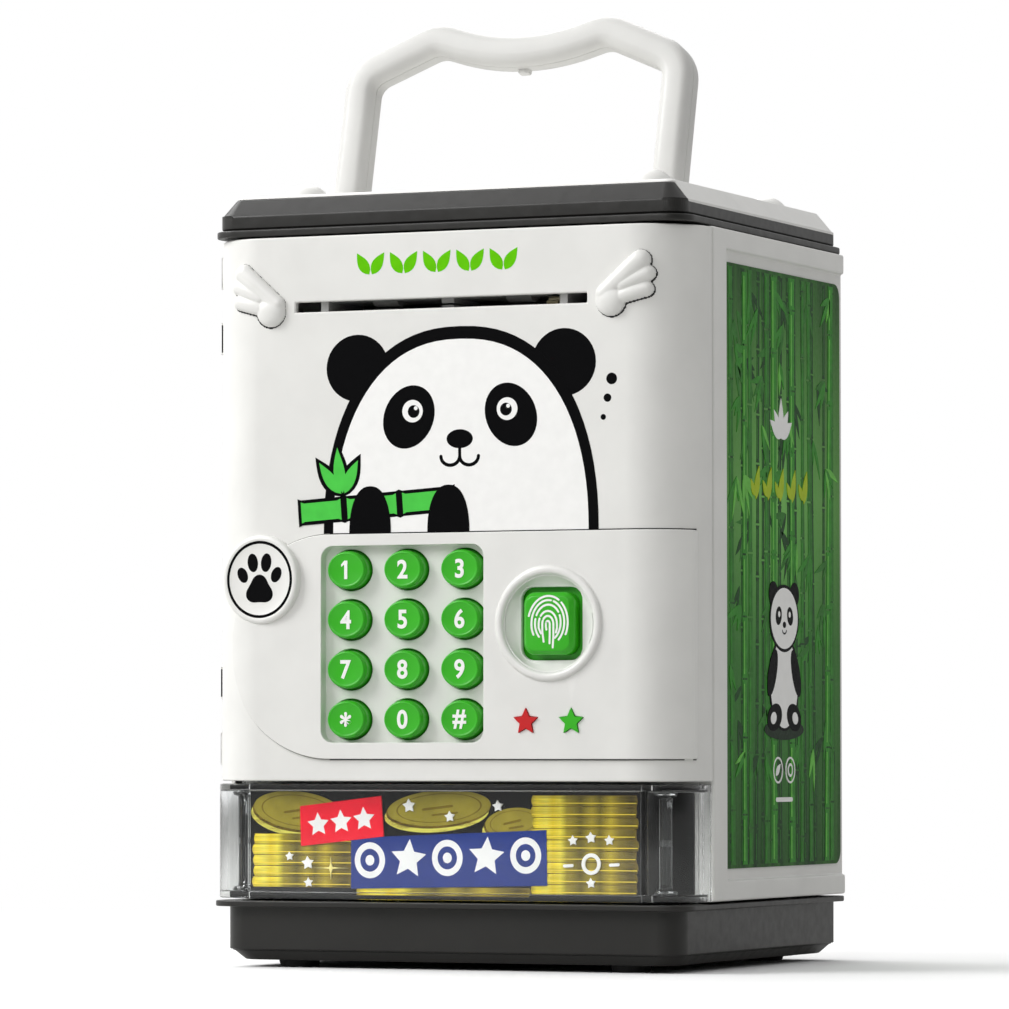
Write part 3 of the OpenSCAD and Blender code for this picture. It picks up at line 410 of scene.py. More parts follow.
def widen_key_holes(panel):
    """Turns the round holes of the keypad's pan into the ovals that fit the caps."""
    floor_y = box_mm("key_1")[0].y + 2
    for name in KEY_NAMES:
        low, high = box_mm("key_" + name)
        middle = middle_of("key_" + name)
        for v in panel.data.vertices:
            across, up = v.co.x / MM - middle.x, v.co.z / MM - middle.z
            if v.co.y / MM > floor_y and math.hypot(across, up) < (high.x - low.x) / 2 + 0.15:
                v.co.x = (middle.x + across * HOLE_OVAL[0]) * MM
                v.co.z = (middle.z + up * HOLE_OVAL[1]) * MM


def make_shells():
    for node, width in SOFT_EDGES.items():
        shell = softened(node, width)
        if node == "keypad_panel":
            widen_key_holes(shell)


# ---------------- door skin
DOOR_FLAT = HALF_W - DOOR_R


def on_door(x, z, lift):
    """Point of the door's outer skin seen at (x, z) from the front, moved out by lift."""
    over = abs(x) - DOOR_FLAT
    if over <= 0:
        return Vector((x, DOOR_Y - lift, z))
    turn = math.asin(min(over / DOOR_R, 1))
    reach = DOOR_R + lift
    return Vector((math.copysign(DOOR_FLAT + reach * math.sin(turn), x),
                   DOOR_Y + DOOR_R - reach * math.cos(turn), z))


# ---------------- handle
HANDLE_LEAN = math.radians(14)
HANDLE_PARTING = -0.5
HANDLE_FRONT = -4.5
HANDLE_REAR = 4.5
HANDLE_WIDE = 7.7


def filleted(corners):
    """Points along straight stretches and the arcs that round their corners: (a, b, radius)."""
    points = [Vector(corners[0][:2])]
    for before, here, after in zip(corners, corners[1:], corners[2:]):
        p, q, r = Vector(before[:2]), Vector(here[:2]), Vector(after[:2])
        into, out = (q - p).normalized(), (r - q).normalized()
        turn = into.angle_signed(out)
        cut = here[2] * math.tan(abs(turn) / 2)
        start = q - into * cut
        side = Vector((into.y, -into.x)) * math.copysign(1, turn)
        hub = start + side * here[2]
        count = int(abs(turn) * here[2]) + 3
        for i in range(count + 1):
            a = -turn * i / count
            points.append(hub + Matrix.Rotation(a, 2) @ (start - hub))
    points.append(Vector(corners[-1][:2]))
    return points


def handle_shell(name, t0, t1, r0, r1, extra=None):
    """One half of the handle from t0 to t1 across the grip, rounded by r0 and r1 there."""
    pivot = Vector(next(j for j in frame["joints"] if j["name"] == "handle_swing")["pos_m"]) / MM
    low, high = box_mm(name)
    leg = (high.x - low.x) / 2 - 3.75
    path = filleted([
        (-leg, 0, 0), (-leg, 41.7, 7.5), (-23.2, 50.8, 9), (0, 43.3, 56),
        (23.2, 50.8, 9), (leg, 41.7, 7.5), (leg, 0, 0),
    ])
    foot = [(-leg, -4 * math.sin(math.radians(a))) for a in (75, 50, 25)]
    path = [Vector(p) for p in foot] + path + [Vector((-a, b)) for a, b in foot[::-1]]
    rings = []
    for i, p in enumerate(path):
        ahead = (path[min(i + 1, len(path) - 1)] - path[max(i - 1, 0)]).normalized()
        outward = Vector((-ahead.y, ahead.x))
        squeeze = math.sqrt(max(0.02, 1 - (p.y / 4.3) ** 2)) if p.y < 0 else 1
        section = [(p + outward * n, t) for n, t in round_rect(HANDLE_WIDE, t0, t1, r0, r1, 4)]
        rings.append([Vector((q.x, t * squeeze, q.y)) for q, t in section])
    bm = bmesh.new()
    ring_loft(bm, rings)
    if extra:
        extra(bm)
    lean = Matrix.Rotation(-HANDLE_LEAN, 4, "X")
    bmesh.ops.transform(bm, matrix=Matrix.Translation(pivot) @ lean, verts=bm.verts)
    # The handle wears the darker copy of the white plastic: painted shade
    return piece(name + "_moulding", bm, "handle", "white_plastic", MATERIALS["handle_plastic"], (name,),
                 angle=math.radians(50))


def grip_tab(bm):
    """Small moulded tab under the middle of the grip."""
    outline = round_rect(3.0, -1.3, 1.3, 0.5, 0.5, 3)
    rings = [
        [Vector((a * s, 2.0 + b * s, h)) for a, b in outline]
        for h, s in ((43.4, 1), (41.7, 1), (41.35, 0.86))
    ]
    ring_loft(bm, rings)


def make_handle():
    handle_shell("handle_front_shell", HANDLE_FRONT, HANDLE_PARTING, 2.5, 0.3)
    handle_shell("handle_rear_shell", HANDLE_PARTING, HANDLE_REAR, 0.3, 2.2, grip_tab)


# ---------------- keys
def text_mesh(word, size, bold):
    """Built-in font's outline of one character as a thin slab, centred, in the XY plane, in mm."""
    curve = bpy.data.curves.new("glyph", "FONT")
    curve.body = word
    curve.size = size
    curve.offset = bold
    curve.extrude = 0.06
    curve.resolution_u = 6
    curve.align_x, curve.align_y = "CENTER", "CENTER"
    holder = add_object("glyph", curve)
    mesh = holder.to_mesh()
    bm = bmesh.new()
    bm.from_mesh(mesh)
    holder.to_mesh_clear()
    bpy.data.objects.remove(holder)
    bpy.data.curves.remove(curve)
    bmesh.ops.remove_doubles(bm, verts=bm.verts, dist=0.001)
    xs = [v.co.x for v in bm.verts]
    ys = [v.co.y for v in bm.verts]
    shift = Vector((-(min(xs) + max(xs)) / 2, -(min(ys) + max(ys)) / 2, 0))
    bmesh.ops.translate(bm, vec=shift, verts=bm.verts)
    return bm


def make_key(name):
    """Round cap with a flat face inside a rolled rim, a step and a drafted skirt, and its sign."""
    node = "key_" + name
    low, high = box_mm(node)
    middle = middle_of(node)
    flange_r = (high.x - low.x) / 2
    cap_r = flange_r - 0.85
    deep = high.y - low.y
    # (distance in from the cap's edge, depth) of the face, the rolled rim and the step
    rim = ((cap_r, 0.12), (1.0, 0.12), (0.86, 0.08), (0.72, 0.01), (0.58, 0), (0.42, 0.07), (0.28, 0.24),
           (0.22, 0.42), (0.19, 0.75), (0.1, 0.84), (0.02, 1.0), (0, 1.25))
    profile = [(cap_r - inset, depth) for inset, depth in rim] + [
        (cap_r, deep - 1.3), (flange_r - 0.1, deep - 1.2), (flange_r, deep - 1.1), (flange_r, deep - 0.1),
        (flange_r - 0.1, deep), (0, deep),
    ]
    bm = bmesh.new()
    revolve(bm, profile, Vector((middle.x, low.y, middle.z)), X, Z, Y, 56)
    # The cap is a little wider than it is tall
    for v in bm.verts:
        if v.co.y < low.y + deep - 1.25:
            v.co.x = middle.x + (v.co.x - middle.x) * KEY_OVAL[0]
            v.co.z = middle.z + (v.co.z - middle.z) * KEY_OVAL[1]
    body = node + "_cap"
    piece(node + "_moulded", bm, body, "green_plastic", replaced=(node,), angle=math.radians(60))
    sign = KEY_SIGNS.get(name, name)
    glyph = text_mesh(sign, 6.2 if sign != "*" else 7.4, 0.16)
    if name == "1":
        flag = [(-0.55, 2.15), (-1.35, 1.35), (-1.35, 0.75), (-0.5, 1.3), (0.0, 2.2)]
        prism(glyph, flag, lambda a, b, lift: Vector((a, b, lift)), -0.05, 0.058)
    face = Matrix.Translation((middle.x - 0.05, low.y + 0.1, middle.z)) @ Matrix.Rotation(math.pi / 2, 4, "X")
    bmesh.ops.transform(glyph, matrix=face @ Matrix.Scale(0.92, 4, X), verts=glyph.verts)
    piece(node + "_sign", glyph, body, "white_plastic", INK["white"])


def make_keys():
    for name in KEY_NAMES:
        make_key(name)


# ---------------- fingerprint button
def band(points, width):
    """Outline of a line of a given width with round ends, along points."""
    left, right, caps = [], [], []
    last = len(points) - 1
    for i, p in enumerate(points):
        ahead = (Vector(points[min(i + 1, last)]) - Vector(points[max(i - 1, 0)])).normalized()
        side = Vector((-ahead.y, ahead.x)) * width / 2
        left.append(Vector(p) + side)
        right.append(Vector(p) - side)
    for end, inner in ((points[0], points[1]), (points[last], points[last - 1])):
        out = (Vector(end) - Vector(inner)).normalized() * width / 2
        side = Vector((-out.y, out.x))
        caps.append([Vector(end) + out * math.sin(a) + side * math.cos(a)
                     for a in map(math.radians, (45, 90, 135))])
    return left + caps[1] + right[::-1] + caps[0]


def oval(x, z, rx, rz, turn=0.0, start=0.0, end=360.0, steps=40):
    """Points of an oval, or of a stretch of it, turned by turn degrees."""
    c, s = math.cos(math.radians(turn)), math.sin(math.radians(turn))
    whole = abs(end - start) >= 360
    count = steps if whole else steps + 1
    points = []
    for i in range(count):
        a = math.radians(start + (end - start) * i / steps)
        u, v = rx * math.cos(a), rz * math.sin(a)
        points.append((x + u * c - v * s, z + u * s + v * c))
    return points


def make_fingerprint():
    node = "fingerprint_button"
    low, high = box_mm(node)
    middle = middle_of(node)
    width, half_h = high.x - low.x - 4.0, (high.z - low.z - 3.9) / 2
    front = low.y
    rings = []
    for inset, depth, radius in (
        (-1.95, high.y - front, 3), (-1.95, high.y - front - 1.1, 3), (0, high.y - front - 1.3, 2.9),
        (0, 1.25, 2.9), (0.12, 0.95, 2.8), (0.3, 0.75, 2.7), (0.8, 0.28, 2.3), (0.9, 0.12, 2.2),
        (1.02, 0.03, 2.1), (1.2, 0.0, 2.0),
    ):
        outline = round_rect(width - 2 * inset, inset - half_h, half_h - inset, radius, radius, 6)
        rings.append([Vector((middle.x + a, front + depth, middle.z + b)) for a, b in outline])
    bm = bmesh.new()
    ring_loft(bm, rings)
    piece(node + "_moulded", bm, "print_button", "green_plastic", replaced=(node,))

    def face(a, b, lift):
        return Vector((middle.x + a, front - lift, middle.z + b))

    bm = bmesh.new()

    def ridge(points):
        prism(bm, band(points, 0.5), face, INK_FOOT, 0.05)

    for rx, rz, left, right in ((0.5, 0.8, 1.3, 4.6), (1.45, 2.0, 4.2, 5.6), (2.4, 3.2, 2.2, 2.0)):
        arch = oval(0.1, -0.2, rx, rz, 0, 0, 180, 14)
        foot = 0.12 * rx
        ridge([(0.1 + rx - foot, -0.2 - right), (0.1 + rx, -0.2 - right * 0.5)] + arch[:12])
        ridge(arch[12:] + [(0.1 - rx, -0.2 - left * 0.4), (0.1 - rx + foot * 2, -0.2 - left)])
    for rx, rz, start, end in ((3.35, 4.4, -52, 28), (3.35, 4.4, 40, 158), (3.35, 4.4, 170, 232),
                               (4.3, 5.5, -44, 74), (4.3, 5.5, 84, 214), (5.2, 6.5, -22, 52),
                               (5.2, 6.5, 62, 168)):
        ridge(oval(0.1, 0.1, rx, rz, -4, start, end, 22))
    piece("fingerprint_ridges", bm, "print_button", "white_plastic", INK["white"])


def make_print_dish():
    """Concave collar between the bead and the button's opening."""
    middle = middle_of("fingerprint_button")
    floor = PANEL_Y + 2.06
    outer_r = 11.62
    half_w, half_h, corner = 8.1, 8.95, 3.2
    turns = angles(48)
    hole = []
    for a in turns:
        ux, uz = math.cos(a), math.sin(a)
        reach = 30.0
        # Steps inwards to the rounded rectangle, by most of the distance that is left
        for _ in range(40):
            qx = max(abs(reach * ux) - (half_w - corner), 0)
            qz = max(abs(reach * uz) - (half_h - corner), 0)
            gap = math.hypot(qx, qz) - corner
            reach -= gap * 0.7
            if abs(gap) < 0.001:
                break
        hole.append((reach * ux, reach * uz))
    rings = []
    for t in (0, 0.12, 0.3, 0.5, 0.7, 0.88, 1.0):
        y = floor - 0.25 - 1.55 * (1 - t) ** 1.8
        ring = []
        for a, (hx, hz) in zip(turns, hole):
            ox, oz = outer_r * math.cos(a), outer_r * math.sin(a)
            ring.append(Vector((middle.x + ox + (hx - ox) * t, y, middle.z + oz + (hz - oz) * t)))
        rings.append(ring)
    for rim in (rings[-1], rings[0]):
        rings.append([Vector((p.x, floor, p.z)) for p in rim])
    bm = bmesh.new()
    ring_loft(bm, rings, caps=False)
    piece("print_dish", bm, "door", "white_plastic")


# ---------------- badge
def make_badge():
    node = "badge_disc"
    turn = math.radians(-6.5)
    centre = Vector((-47.7, -54.0, 95.4))
    facing = Matrix.Rotation(turn, 3, "Z")
    across, back = facing @ X, facing @ Y
    radius, rise = 10.9, 1.95
    face_depth = -rise + 0.12

    def depth_to_skin(a):
        """How far back from the badge's plane its rim meets the door or the keypad's face."""
        rim = centre + across * (radius * math.cos(a)) + Z * (radius * math.sin(a))
        for i in range(200):
            p = rim + back * (i * 0.1 - 2)
            over = abs(p.x) - DOOR_FLAT
            if p.y > DOOR_Y if over <= 0 else math.hypot(over, p.y - DOOR_Y - DOOR_R) < DOOR_R:
                return max(i * 0.1 - 1.9, -rise + 0.6)
        return 6.0

    profile = [(1.0, None), (1.0, -rise + 0.55), (0.985, -rise + 0.3), (0.955, -rise + 0.1), (0.92, -rise),
               (0.895, -rise + 0.03), (0.88, face_depth), (0.5, face_depth)]
    rings = []
    for share, height in profile:
        ring = []
        for a in angles(72):
            depth = depth_to_skin(a) if height is None else height
            ring.append(centre + (across * math.cos(a) + Z * math.sin(a)) * (radius * share) + back * depth)
        rings.append(ring)
    bm = bmesh.new()
    ring_loft(bm, rings)
    piece(node + "_moulded", bm, "door", "white_plastic", replaced=(node,))

    def face(a, b, lift):
        return centre + across * a + Z * b + back * (face_depth - lift)

    bm = bmesh.new()
    hoop(bm, oval(0, 0, 9.5, 9.5, steps=64), oval(0, 0, 8.8, 8.8, steps=64), face, INK_FOOT, 0.04)
    toe_shapes = ((4.9, 1.1, 1.4, 2.0, 28), (1.95, 4.1, 1.5, 2.3, 8))
    toes = [oval(side * x, z, rx, rz, -side * lean, steps=28)
            for x, z, rx, rz, lean in toe_shapes for side in (-1, 1)]
    pad = []
    for a in angles(40):
        r = 3.4 + 0.5 * math.cos(3 * (a - math.radians(90)))
        pad.append((r * math.cos(a) * 1.08, -2.7 + r * math.sin(a)))
    for outline in toes + [pad]:
        prism(bm, outline, face, INK_FOOT, 0.04)
    piece("badge_print", bm, "door", "white_plastic", INK["black"])


# ---------------- wings
WING_BALL = (45.4, 161.4)
WING_SHAPES = [
    # start x, start z, end x, end z, half width at the start and at the end, height
    (0.0, 0.0, 0.01, 0.0, 3.9, 3.9, 2.15),
    (-1.5, 1.7, 7.5, 9.5, 2.3, 2.5, 1.95),
    (3.0, 3.4, 8.9, 6.3, 1.6, 2.1, 1.75),
    (3.0, 0.9, 8.6, 2.5, 1.9, 2.0, 1.65),
]


def wing_height(x, z, grow=0.0):
    """Height of the right wing over the door's skin at (x, z) from the wing's base ball."""
    best = -9.0
    for x0, z0, x1, z1, w0, w1, height in WING_SHAPES:
        dx, dz = x1 - x0, z1 - z0
        t = max(0, min(1, ((x - x0) * dx + (z - z0) * dz) / (dx * dx + dz * dz)))
        width = w0 + (w1 - w0) * t + grow
        off = math.hypot(x - x0 - dx * t, z - z0 - dz * t) / width
        level = height * math.sqrt(1 - off ** 2.1) if off < 1 else -3.0 * (off - 1) * width
        best = max(best, level)
    return best


def relief(side, height, lift):
    """Closed mesh of a height field that stands on the door's skin."""
    floor, step = -0.28, 0.24
    x0, x1, z0, z1 = -5.0, 12.0, -5.0, 13.0
    nx, nz = int((x1 - x0) / step), int((z1 - z0) / step)
    value = {(i, k): height(x0 + i * step, z0 + k * step) for i in range(nx + 1) for k in range(nz + 1)}
    cells = [
        (i, k) for i in range(nx) for k in range(nz)
        if min(value[i, k], value[i + 1, k], value[i, k + 1], value[i + 1, k + 1]) > floor
    ]
    bm = bmesh.new()
    top, base = {}, {}
    for i, k in cells:
        for key in ((i, k), (i + 1, k), (i + 1, k + 1), (i, k + 1)):
            if key not in top:
                u, v = x0 + key[0] * step, z0 + key[1] * step
                x, z = side * (WING_BALL[0] + u), WING_BALL[1] + v
                top[key] = bm.verts.new(on_door(x, z, lift(value[key])))
                base[key] = bm.verts.new(on_door(x, z, floor))
    edges = {}
    for i, k in cells:
        loop = [(i, k), (i + 1, k), (i + 1, k + 1), (i, k + 1)]
        bm.faces.new([top[q] for q in loop])
        bm.faces.new([base[q] for q in loop[::-1]])
        edges.update(dict.fromkeys(round_pairs(loop)))
    # A wall stands on each edge that no other cell shares
    for a, b in edges:
        if (b, a) not in edges:
            bm.faces.new((top[b], top[a], base[a], base[b]))
    return bm


def make_wings():
    # Dark rim round each wing: a black copy of the wing, a little larger and moved down and outwards, just off the
    # skin; partly a dark gap, mostly a painted shadow under the wing's edge
    def gap(u, v):
        return wing_height(u - 0.12, v + 0.16, 0.24)

    for side, node in ((-1, "wing_left"), (1, "wing_right")):
        bm = relief(side, wing_height, lambda v: v + 0.12 if v > 0 else v)
        piece(node + "_moulded", bm, "door", "white_plastic", replaced=(node,), angle=math.radians(75))
        bm = relief(side, gap, lambda v: 0.05 if v > 0 else -0.1)
        piece(node + "_gap_painted_shadow", bm, "door", "dark_plastic", MATERIALS["black_plastic"])


# ---------------- printed artwork
def leaf(x, z, length, width, turn, bend):
    """Pointed leaf from its stem at (x, z), turned by turn degrees."""
    c, s = math.cos(math.radians(turn)), math.sin(math.radians(turn))
    points = []
    for side in (1, -1):
        steps = range(9) if side == 1 else range(7, 0, -1)
        for i in steps:
            t = i / 8
            u = length * t
            v = side * width / 2 * math.sin(math.pi * t ** 0.8) + bend * length * t * (1 - t)
            points.append((x + u * c - v * s, z + u * s + v * c))
    return points


def star_shape(x, z, r, turn, waist):
    points = []
    for i in range(10):
        a = math.radians(90 + turn + 36 * i)
        reach = r if i % 2 == 0 else r * waist
        points.append((x + reach * math.cos(a), z + reach * math.sin(a)))
    return points


class Print:
    """Printed layers on one surface; each layer of an ink is one thin piece."""

    def __init__(self, name, body, slot, place, step=0.028):
        self.name, self.body, self.slot, self.place, self.step = name, body, slot, place, step
        self.layers = {}
        self.drawn = 0

    def height(self, level):
        """Lift of the next shape: its level, and a hair more or less than its neighbours'."""
        self.drawn += 1
        return self.step * level + 0.0015 * (self.drawn % 6)

    def mesh(self, ink_name, level):
        key = (level, ink_name)
        if key not in self.layers:
            self.layers[key] = bmesh.new()
        return self.layers[key]

    def shape(self, ink_name, level, outline):
        prism(self.mesh(ink_name, level), outline, self.place, INK_FOOT, self.height(level))

    def dot(self, ink_name, level, *measures, steps=40):
        self.shape(ink_name, level, oval(*measures, steps=steps))

    def ring(self, ink_name, level, x, z, outer, inner, turn=0.0, steps=40):
        rims = [oval(x, z, *radii, turn, steps=steps) for radii in (outer, inner)]
        hoop(self.mesh(ink_name, level), *rims, self.place, INK_FOOT, self.height(level))

    def finish(self, inks):
        for (level, ink_name), bm in sorted(self.layers.items(), key=lambda item: item[0]):
            piece(f"{self.name}_{level}_{ink_name}", bm, self.body, self.slot, inks[ink_name])


def head_outline(x, z, half, height, steps=44):
    """Upright dome that stands on height z."""
    points = []
    for i in range(steps + 1):
        a = math.pi * i / steps
        c, s = math.cos(a), math.sin(a)
        points.append((x + math.copysign(abs(c) ** 0.86, c) * half, z + s ** 0.9 * height))
    return points


def make_window_depth():
    """Matt black behind the card, and clear posts with moulded ends in the window's corners."""
    n = Nodes("matt_black")
    tone = n.blend(n.remap(n.noise(4, 3), 0, 1), (0.0015, 0.0015, 0.0015), (0.004, 0.004, 0.004))
    n.finish(tone, (n.noise(2, 3), 0.6, 0.8), (n.noise(0.5, 2), 0.01, 0.4), specular=0.1)
    for node in ("window_backing", "window_card"):
        dress(node, n.material)
    low, high = box_mm("window_cover")
    bm = bmesh.new()
    profile = [(0, 0), (2.6, 0), (2.9, 0.5), (2.6, 1.1), (1.7, 1.5), (1.55, 2.2), (1.55, 13.2)]
    height = high.z - low.z - 3.4
    mirrored = [(r, height - h) for r, h in profile[::-1]]
    for side in (-1, 1):
        foot = Vector((side * (high.x - 8.4), low.y + 5.2, low.z + 1.7))
        revolve(bm, profile + mirrored, foot, X, Y, Z, 28)
    piece("window_posts", bm, "cabinet", "clear_plastic", MATERIALS["clear_plastic"])


def draw_head(art, cx, base):
    """A plain panda's head of simple round shapes."""
    for side in (-1, 1):
        art.dot("black", 1, cx + side * 27.5, base + 40.5, 8.4, 8.2)
    art.shape("black", 2, head_outline(cx, base, 36.6, 50.0))
    art.shape("white", 3, head_outline(cx, base, 34.0, 46.9))
    for side in (-1, 1):
        art.dot("black", 4, cx + side * 13.6, base + 28.2, 6.6, 8.0, side * 28)
        art.dot("white", 5, cx + side * 12.6, base + 29.6, 2.75, 2.75)
        art.dot("black", 6, cx + side * 12.3, base + 29.5, 1.55, 1.55)
        art.dot("white", 7, cx + side * 12.3 + 0.6, base + 30.3, 0.5, 0.5)
    art.dot("black", 4, cx, base + 22.6, 3.5, 2.3)
    art.shape("black", 4, band([(cx, base + 21), (cx, base + 18.2)], 0.8))
    for side in (-1, 1):
        smile = oval(cx + side * 2.5, base + 18.4, 2.5, 2.2, 0, 180, 360, 14)
        art.shape("black", 4, band(smile, 0.85))


def draw_pole(art, start):
    """Bamboo pole with a ring at each joint, and three leaves on its first joint."""
    joints = (12.5, 15.0, 15.0)
    pole = Vector((math.cos(math.radians(4)), math.sin(math.radians(4))))
    rise = Vector((-pole.y, pole.x))
    for i, length in enumerate(joints):
        along = start + pole * sum(joints[:i])
        for ink_name, level, margin in (("black", 5, 0.0), ("bamboo", 6, 0.85)):
            half = 3.1 - margin
            wide = half + 0.35
            u0, u1 = margin, length - margin
            stick = [(u0, -wide), (u0 + 0.9, -half), (u1 - 0.9, -half), (u1, -wide),
                     (u1, wide), (u1 - 0.9, half), (u0 + 0.9, half), (u0, wide)]
            art.shape(ink_name, level, [along + pole * u + rise * v for u, v in stick])
    knot = start + pole * joints[0] + rise * 3.0
    for turn, length in ((128, 11), (98, 12.5), (66, 10)):
        art.shape("black", 5, leaf(knot.x, knot.y, length + 1.4, 5.0, turn, 0.1))
        inner = Vector((math.cos(math.radians(turn)), math.sin(math.radians(turn)))) * 0.9
        art.shape("bamboo", 6, leaf(knot.x + inner.x, knot.y + inner.y, length - 1.2, 3.1, turn, 0.1))


def draw_panel_joint(art):
    """Fine joint round the keypad's face: dark above and below, paler grey round its left end as a painted
    highlight on the rounded end.
    """
    end_r = (PANEL_HIGH.z - PANEL_LOW.z) / 2
    mid = (PANEL_HIGH.z + PANEL_LOW.z) / 2
    start = PANEL_LOW.x + end_r
    near, far = end_r + 0.02, end_r + 0.24
    for side, level in ((1, 8), (-1, 3)):
        z = mid + side * near
        lip = z + side * 0.26
        for i in range(40):
            a, b = (start + (PANEL_HIGH.x - 0.3 - start) * t / 40 for t in (i, i + 1))
            art.shape("black", level, [(a, z), (b, z), (b, lip), (a, lip)])
        # Paler grey arc round the left end: painted highlight where the rounded end catches the light
        for i in range(30):
            a, b = (math.radians(90 + 3 * t) for t in (i, i + 1))
            quad = [(start + r * math.cos(t), mid + side * r * math.sin(t))
                    for t, r in ((a, near), (b, near), (b, far), (a, far))]
            art.shape("joint", 3, quad)


def make_front_art():
    """A panda looks over the keypad with a bamboo pole in its paws, under a title of leaves in pairs."""
    art = Print("door_print", "door", "printed_card", on_door)
    cx, base = 5.5, PANEL_HIGH.z + 0.15
    draw_head(art, cx, base)
    draw_pole(art, Vector((cx - 43.5, base + 5.2)))
    for x in (cx - 24, cx - 3):
        art.shape("black", 7, head_outline(x, base, 5.6, 11.5, steps=24))
    for i in range(5):
        x = -0.7 + (i - 2) * 8.9
        for turn, side in ((58, 0.35), (122, -0.35)):
            art.shape("title", 1, leaf(x + side, 169.7, 6.3, 2.9, turn, 0.06))
    draw_panel_joint(art)
    # Three small bubbles beside the head
    for i, r in enumerate((0.7, 1.0, 1.4)):
        art.dot("black", 1, cx + 37.8 + i * 1.1, base + 27 + i * 4.6, r, r, steps=24)
    art.finish(INK)


# ---------------- side sheets
def sheet_material(name):
    """Printed forest: light from above the middle, darker edges, soft upright streaks."""
    n = Nodes(name)
    glow = n.ramp(n.axis("Z", 24, 173), (
        (0.0, (0.006, 0.05, 0.008)), (0.35, (0.05, 0.25, 0.04)), (0.62, (0.22, 0.58, 0.13)),
        (1.0, (0.01, 0.075, 0.012)),
    ))
    middle = n.ramp(n.axis("Y", -28, 53), ((0.0, (0.35,) * 3), (0.45, (1.0,) * 3), (1.0, (0.3,) * 3)))
    streaks = n.noise(4, 3, (1, 1, 0.05))
    body = n.add("ShaderNodeMix", data_type="RGBA", blend_type="MULTIPLY")
    body.inputs[0].default_value = 0.75
    n.join(glow, body.inputs[6])
    n.join(middle, body.inputs[7])
    streaked = n.blend(n.remap(streaks, 0, 0.35), body.outputs[2], (0.1, 0.4, 0.05))
    return n.finish(streaked, (n.noise(1.2, 3), 0.42, 0.55), (n.noise(0.4, 2), 0.006, 0.4), specular=0.12)


SIDE_INK = {
    "shadow": ink("side_shadow", (0.002, 0.02, 0.003)),
    "deep": ink("side_deep", (0.006, 0.06, 0.007), tint=0.2),
    "mid": ink("side_mid", (0.03, 0.19, 0.018), tint=0.2),
    "bright": ink("side_bright", (0.035, 0.26, 0.018), tint=0.15),
    "pale": ink("side_pale", (0.15, 0.52, 0.07), tint=0.15),
    "white": INK["white"],
    "black": INK["black"],
    "lime": ink("side_lime", (0.42, 0.56, 0.01)),
}
STALK_LAYERS = [
    # level, body ink, light ink, number, least and greatest width, number of leaf sprays
    (1, "deep", "mid", 15, 1.3, 2.2, 26),
    (3, "mid", "bright", 8, 2.0, 3.0, 26),
    (5, "bright", "pale", 4, 2.4, 3.2, 16),
]


def draw_grove(art, chance, y0, y1, z0, z1):
    """Three layers of jointed stalks and leaf sprays, inside the sheet's rounded corners."""
    corner = 3.6

    def inside(outline):
        return all(math.hypot(max(y0 + corner - y, y - y1 + corner, 0),
                              max(z0 + corner - z, z - z1 + corner, 0)) < corner for y, z in outline)

    def stalk(level, body, light, y, width, slant):
        half = width / 2
        wide = half + 0.14 * width
        z, top = z0 + 0.2, z1 - 0.2
        joint = chance.uniform(6, 16)
        while z < top - 2:
            end = min(z + joint, top)
            a, b = y + slant * (z - z0), y + slant * (end - z0)
            shape = [(a - wide, z + 0.25), (a - half, z + 1.1), (b - half, end - 1.1), (b - wide, end - 0.25),
                     (b + wide, end - 0.25), (b + half, end - 1.1), (a + half, z + 1.1), (a + wide, z + 0.25)]
            if inside(shape):
                art.shape(body, level, shape)
                gleam = [(a - 0.62 * half, z + 1.2), (b - 0.62 * half, end - 1.2),
                         (b - 0.12 * half, end - 1.2), (a - 0.12 * half, z + 1.2)]
                art.shape(light, level + 1, gleam)
            z = end
            joint = chance.uniform(13, 20) * (0.7 + 0.12 * width)

    for level, body, light, number, least, most, sprays in STALK_LAYERS:
        for i in range(number):
            width = chance.uniform(least, most)
            y = y0 + corner + (y1 - y0 - 2 * corner) * (i + chance.uniform(0.15, 0.85)) / number
            stalk(level, body, light, y, width, chance.uniform(-0.025, 0.025))
        for _ in range(sprays):
            y = chance.uniform(y0 + 4, y1 - 4)
            z = chance.uniform(z0 + 25, z1 - 3)
            lean = chance.uniform(-150, -30)
            for k in range(chance.randint(2, 4)):
                blade = leaf(y, z, chance.uniform(6, 11.5), chance.uniform(1.3, 2.1),
                             lean + (k - 1) * chance.uniform(18, 30), 0.1)
                if inside(blade):
                    art.shape(light if chance.random() < 0.4 else body, level + 1, blade)


def draw_seated_panda(art, cy, cz):
    """Plain panda of ovals, which faces the viewer."""
    art.dot("shadow", 8, cy, cz + 0.6, 13.5, 2.6)
    art.dot("black", 9, cy, cz + 12.2, 10.2, 12.0)
    art.dot("white", 10, cy, cz + 12.0, 9.3, 11.1)
    for s in (-1, 1):
        art.dot("black", 10, cy + s * 7.2, cz + 34.2, 3.1, 3.1, steps=28)
        art.dot("black", 11, cy + s * 8.0, cz + 14.6, 2.7, 6.3, s * 24, steps=28)
        art.dot("black", 11, cy + s * 6.6, cz + 3.6, 5.0, 3.3, s * -14, steps=28)
        art.dot("white", 12, cy + s * 7.4, cz + 3.4, 2.0, 1.5, s * -14, steps=20)
    art.dot("black", 11, cy, cz + 28.2, 10.0, 8.4)
    art.dot("white", 12, cy, cz + 28.2, 9.2, 7.6)
    for s in (-1, 1):
        art.dot("black", 13, cy + s * 3.9, cz + 28.8, 2.0, 2.4, s * 26, steps=24)
        art.dot("white", 14, cy + s * 3.6, cz + 29.2, 0.75, 0.75, steps=16)
    art.dot("black", 13, cy, cz + 26.6, 1.15, 0.8, steps=20)
    art.shape("black", 13, band(oval(cy, cz + 25.6, 1.5, 1.2, 0, 200, 340, 10), 0.42))


